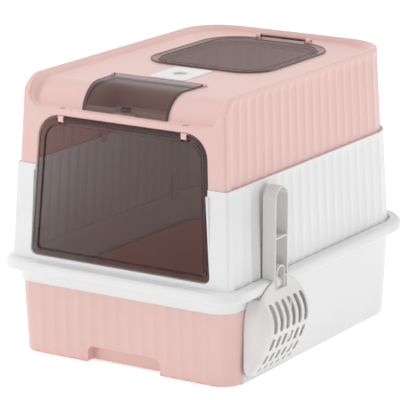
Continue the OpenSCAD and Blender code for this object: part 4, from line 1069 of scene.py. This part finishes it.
class LITTERBOX_OT_tub(bpy.types.Operator):
    """White base tub with its rolled rim and collar"""
    bl_idname = "litterbox.tub"
    bl_label = "Base tub"

    def execute(self, context):
        def tub(z, i):
            lean = (RIM_Z - z) * TUB_SLOPE
            return plan_ring(TUB_W - 2 * lean - 2 * i, TUB_D - 2 * lean - 2 * i, TUB_FRONT_R - i,
                             TUB_REAR_R - i, z)

        def rim(z, i):
            return plan_ring(RIM_W - 2 * i, RIM_D - 2 * i, max(RIM_FRONT_R - i, 2), max(RIM_REAR_R - i, 2), z)

        def collar(z, i):
            return plan_ring(COLLAR_W - 2 * i, COLLAR_D - 2 * i, COLLAR_FRONT_R, COLLAR_REAR_R - i, z)

        low, high = RIM_LOW_R, RIM_HIGH_R
        rings = [tub(0, 1.5), tub(0.4, 0.4), tub(1.5, 0), tub(40, 0), tub(80, 0), tub(RIM_Z - 1.2, 0)]
        rings += [rim(RIM_Z - 0.4, 13.6), rim(RIM_Z, 12.6), rim(RIM_Z, low)]
        rings += [rim(RIM_Z + low - low * cos(a), low - low * sin(a))
                  for a in np.radians([25, 50, 70, 90])]
        rings += [rim(RIM_TOP - high, 0.4)]
        rings += [rim(RIM_TOP - high + high * sin(a), high + 0.4 - high * cos(a))
                  for a in np.radians([15, 30, 45, 60, 75, 90])]
        rings += [rim(RIM_TOP, 15.2), rim(RIM_TOP - 0.4, 15.65), rim(SEAT_Z, 15.65)]
        top, t = COLLAR_TOP, COLLAR_T
        rings += [collar(*step) for step in ((SEAT_Z, 0), (top - 0.4, 0), (top, 0.5), (top, t - 0.5),
                                             (top - 0.4, t), (117, t))]
        rings += [tub(116, TUB_WALL + 0.5), tub(60, TUB_WALL), tub(6, TUB_WALL), tub(3, TUB_WALL + 3)]
        # drawer opening with a rounded lower edge on the apron
        opening = [(-400, -10), (WRAP_Y, -10), (WRAP_Y, APRON_Z - APRON_R),
                   *arc(WRAP_Y - APRON_R, APRON_Z - APRON_R, APRON_R, 0, 90, 5)[1:], (-400, APRON_Z)]
        obj = cut(lofted("tub_shell", rings), prism_x("opening", opening, 300))
        finished(obj, "base", "white_plastic", "base_tub")
        return {"FINISHED"}


# ---- Camera and stage ----

class LITTERBOX_OT_stage(bpy.types.Operator):
    """Pale floor, soft lights, white surroundings and the camera"""
    bl_idname = "litterbox.stage"
    bl_label = "Stage"

    def execute(self, context):
        scene = context.scene
        scene.view_settings.view_transform = "Standard"
        camera = bpy.data.cameras.new("camera")
        camera.lens, camera.sensor_width = scene.litterbox_sizes.lens, SENSOR
        camera.clip_start, camera.clip_end = 0.1, 50
        scene.camera = linked("camera", camera)
        scene.camera.location = CAMERA_AT
        scene.camera.rotation_euler = [radians(a) for a in CAMERA_TURN]
        self.floor()
        self.world(scene)
        for name, place, aim, size, power in LAMPS:
            lamp = bpy.data.lights.new(name, "AREA")
            lamp.shape, lamp.size, lamp.energy = "SQUARE", size, power
            spot = linked(name, lamp)
            spot.location = place
            spot.visible_glossy = name == "key"
            spot.rotation_mode = "QUATERNION"
            spot.rotation_quaternion = (Vector(aim) - Vector(place)).to_track_quat("-Z", "Y")
        return {"FINISHED"}

    def floor(self):
        mesh, h = bpy.data.meshes.new("floor"), FLOOR_HALF
        mesh.from_pydata([(-h, -h, 0), (h, -h, 0), (h, h, 0), (-h, h, 0)], [], [(0, 1, 2, 3)])
        floor = linked("floor", mesh)
        mat = bpy.data.materials.new("pale_floor")
        t = empty_tree(mat)
        level = t.add("ShaderNodeMapRange", {"Value": t.seen(), "To Min": FLOOR_GLOW, "To Max": FLOOR_WHITE})
        glow = t.add("ShaderNodeEmission", {"Color": (1, 1, 1, 1), "Strength": level.outputs[0]})
        paint = t.add("ShaderNodeBsdfDiffuse", {"Color": (0.9, 0.9, 0.9, 1)})
        both = t.add("ShaderNodeAddShader", {0: paint.outputs[0], 1: glow.outputs[0]})
        t.add("ShaderNodeOutputMaterial", {0: both.outputs[0]})
        mesh.materials.append(mat)

    def world(self, scene):
        scene.world = bpy.data.worlds.new("surroundings")
        t = empty_tree(scene.world)
        plain, white = (t.add("ShaderNodeBackground", {"Color": (1, 1, 1, 1), "Strength": strength})
                        for strength in (ROOM_LIGHT, 1.0))
        mix = t.add("ShaderNodeMixShader", {0: t.seen(), 1: plain.outputs[0], 2: white.outputs[0]})
        t.add("ShaderNodeOutputWorld", {0: mix.outputs[0]})


class LITTERBOX_OT_finishes(bpy.types.Operator):
    """Materials of every plastic, and of the nodes that stay as they are"""
    bl_idname = "litterbox.finishes"
    bl_label = "Finishes"

    def execute(self, context):
        colours = context.scene.litterbox_colours
        plastic("pink_plastic", colours.pink)
        plastic("white_plastic", colours.white)
        plastic("grey_plastic", colours.grey, roughness=0.42)
        plastic("pin_plastic", (0.03, 0.028, 0.028), roughness=0.5)
        smoky("smoky_plastic", colours.smoke, colours.cover)
        smoky("smoky_door", colours.smoke, colours.door_cover, 0.12, 0.32)
        smoky("smoky_hatch", [2.6 * c for c in colours.smoke], colours.hatch_cover, 0.14, 0.3)
        smoky("smoky_lid", colours.smoke, colours.cover, 0.14, 0.4)
        # darker copy of the smoky plastic: painted shade on rims seen edge on and in the lid's notch
        smoky("smoky_edge_shade", colours.smoke, colours.edge_shade_cover)
        for row in frame["record"]["subparts"]:
            painted(frame["nodes"][row["node"]], row["material_slot"])
        return {"FINISHED"}


class LITTERBOX_PT_panel(bpy.types.Panel):
    bl_label = "Litter box"
    bl_idname = "LITTERBOX_PT_panel"
    bl_space_type = "VIEW_3D"
    bl_region_type = "UI"
    bl_category = "Litter box"

    def draw(self, context):
        for group in (context.scene.litterbox_sizes, context.scene.litterbox_colours):
            for key in group.__annotations__:
                self.layout.prop(group, key)
        for step in STEPS:
            self.layout.operator(step.bl_idname)


STEPS = [LITTERBOX_OT_finishes, LITTERBOX_OT_stage, LITTERBOX_OT_tub, LITTERBOX_OT_housing, LITTERBOX_OT_hood,
         LITTERBOX_OT_door, LITTERBOX_OT_hatch, LITTERBOX_OT_lid, LITTERBOX_OT_drawer, LITTERBOX_OT_scoop]
CLASSES = [LITTERBOX_PG_sizes, LITTERBOX_PG_colours, *STEPS, LITTERBOX_PT_panel]


def register():
    for item in CLASSES:
        bpy.utils.register_class(item)
    bpy.types.Scene.litterbox_sizes = bpy.props.PointerProperty(type=LITTERBOX_PG_sizes)
    bpy.types.Scene.litterbox_colours = bpy.props.PointerProperty(type=LITTERBOX_PG_colours)


def unregister():
    del bpy.types.Scene.litterbox_colours
    del bpy.types.Scene.litterbox_sizes
    for item in reversed(CLASSES):
        bpy.utils.unregister_class(item)


def main():
    register()
    for step in STEPS:
        family, name = step.bl_idname.split(".")
        getattr(getattr(bpy.ops, family), name)()


if __name__ == "__main__":
    main()
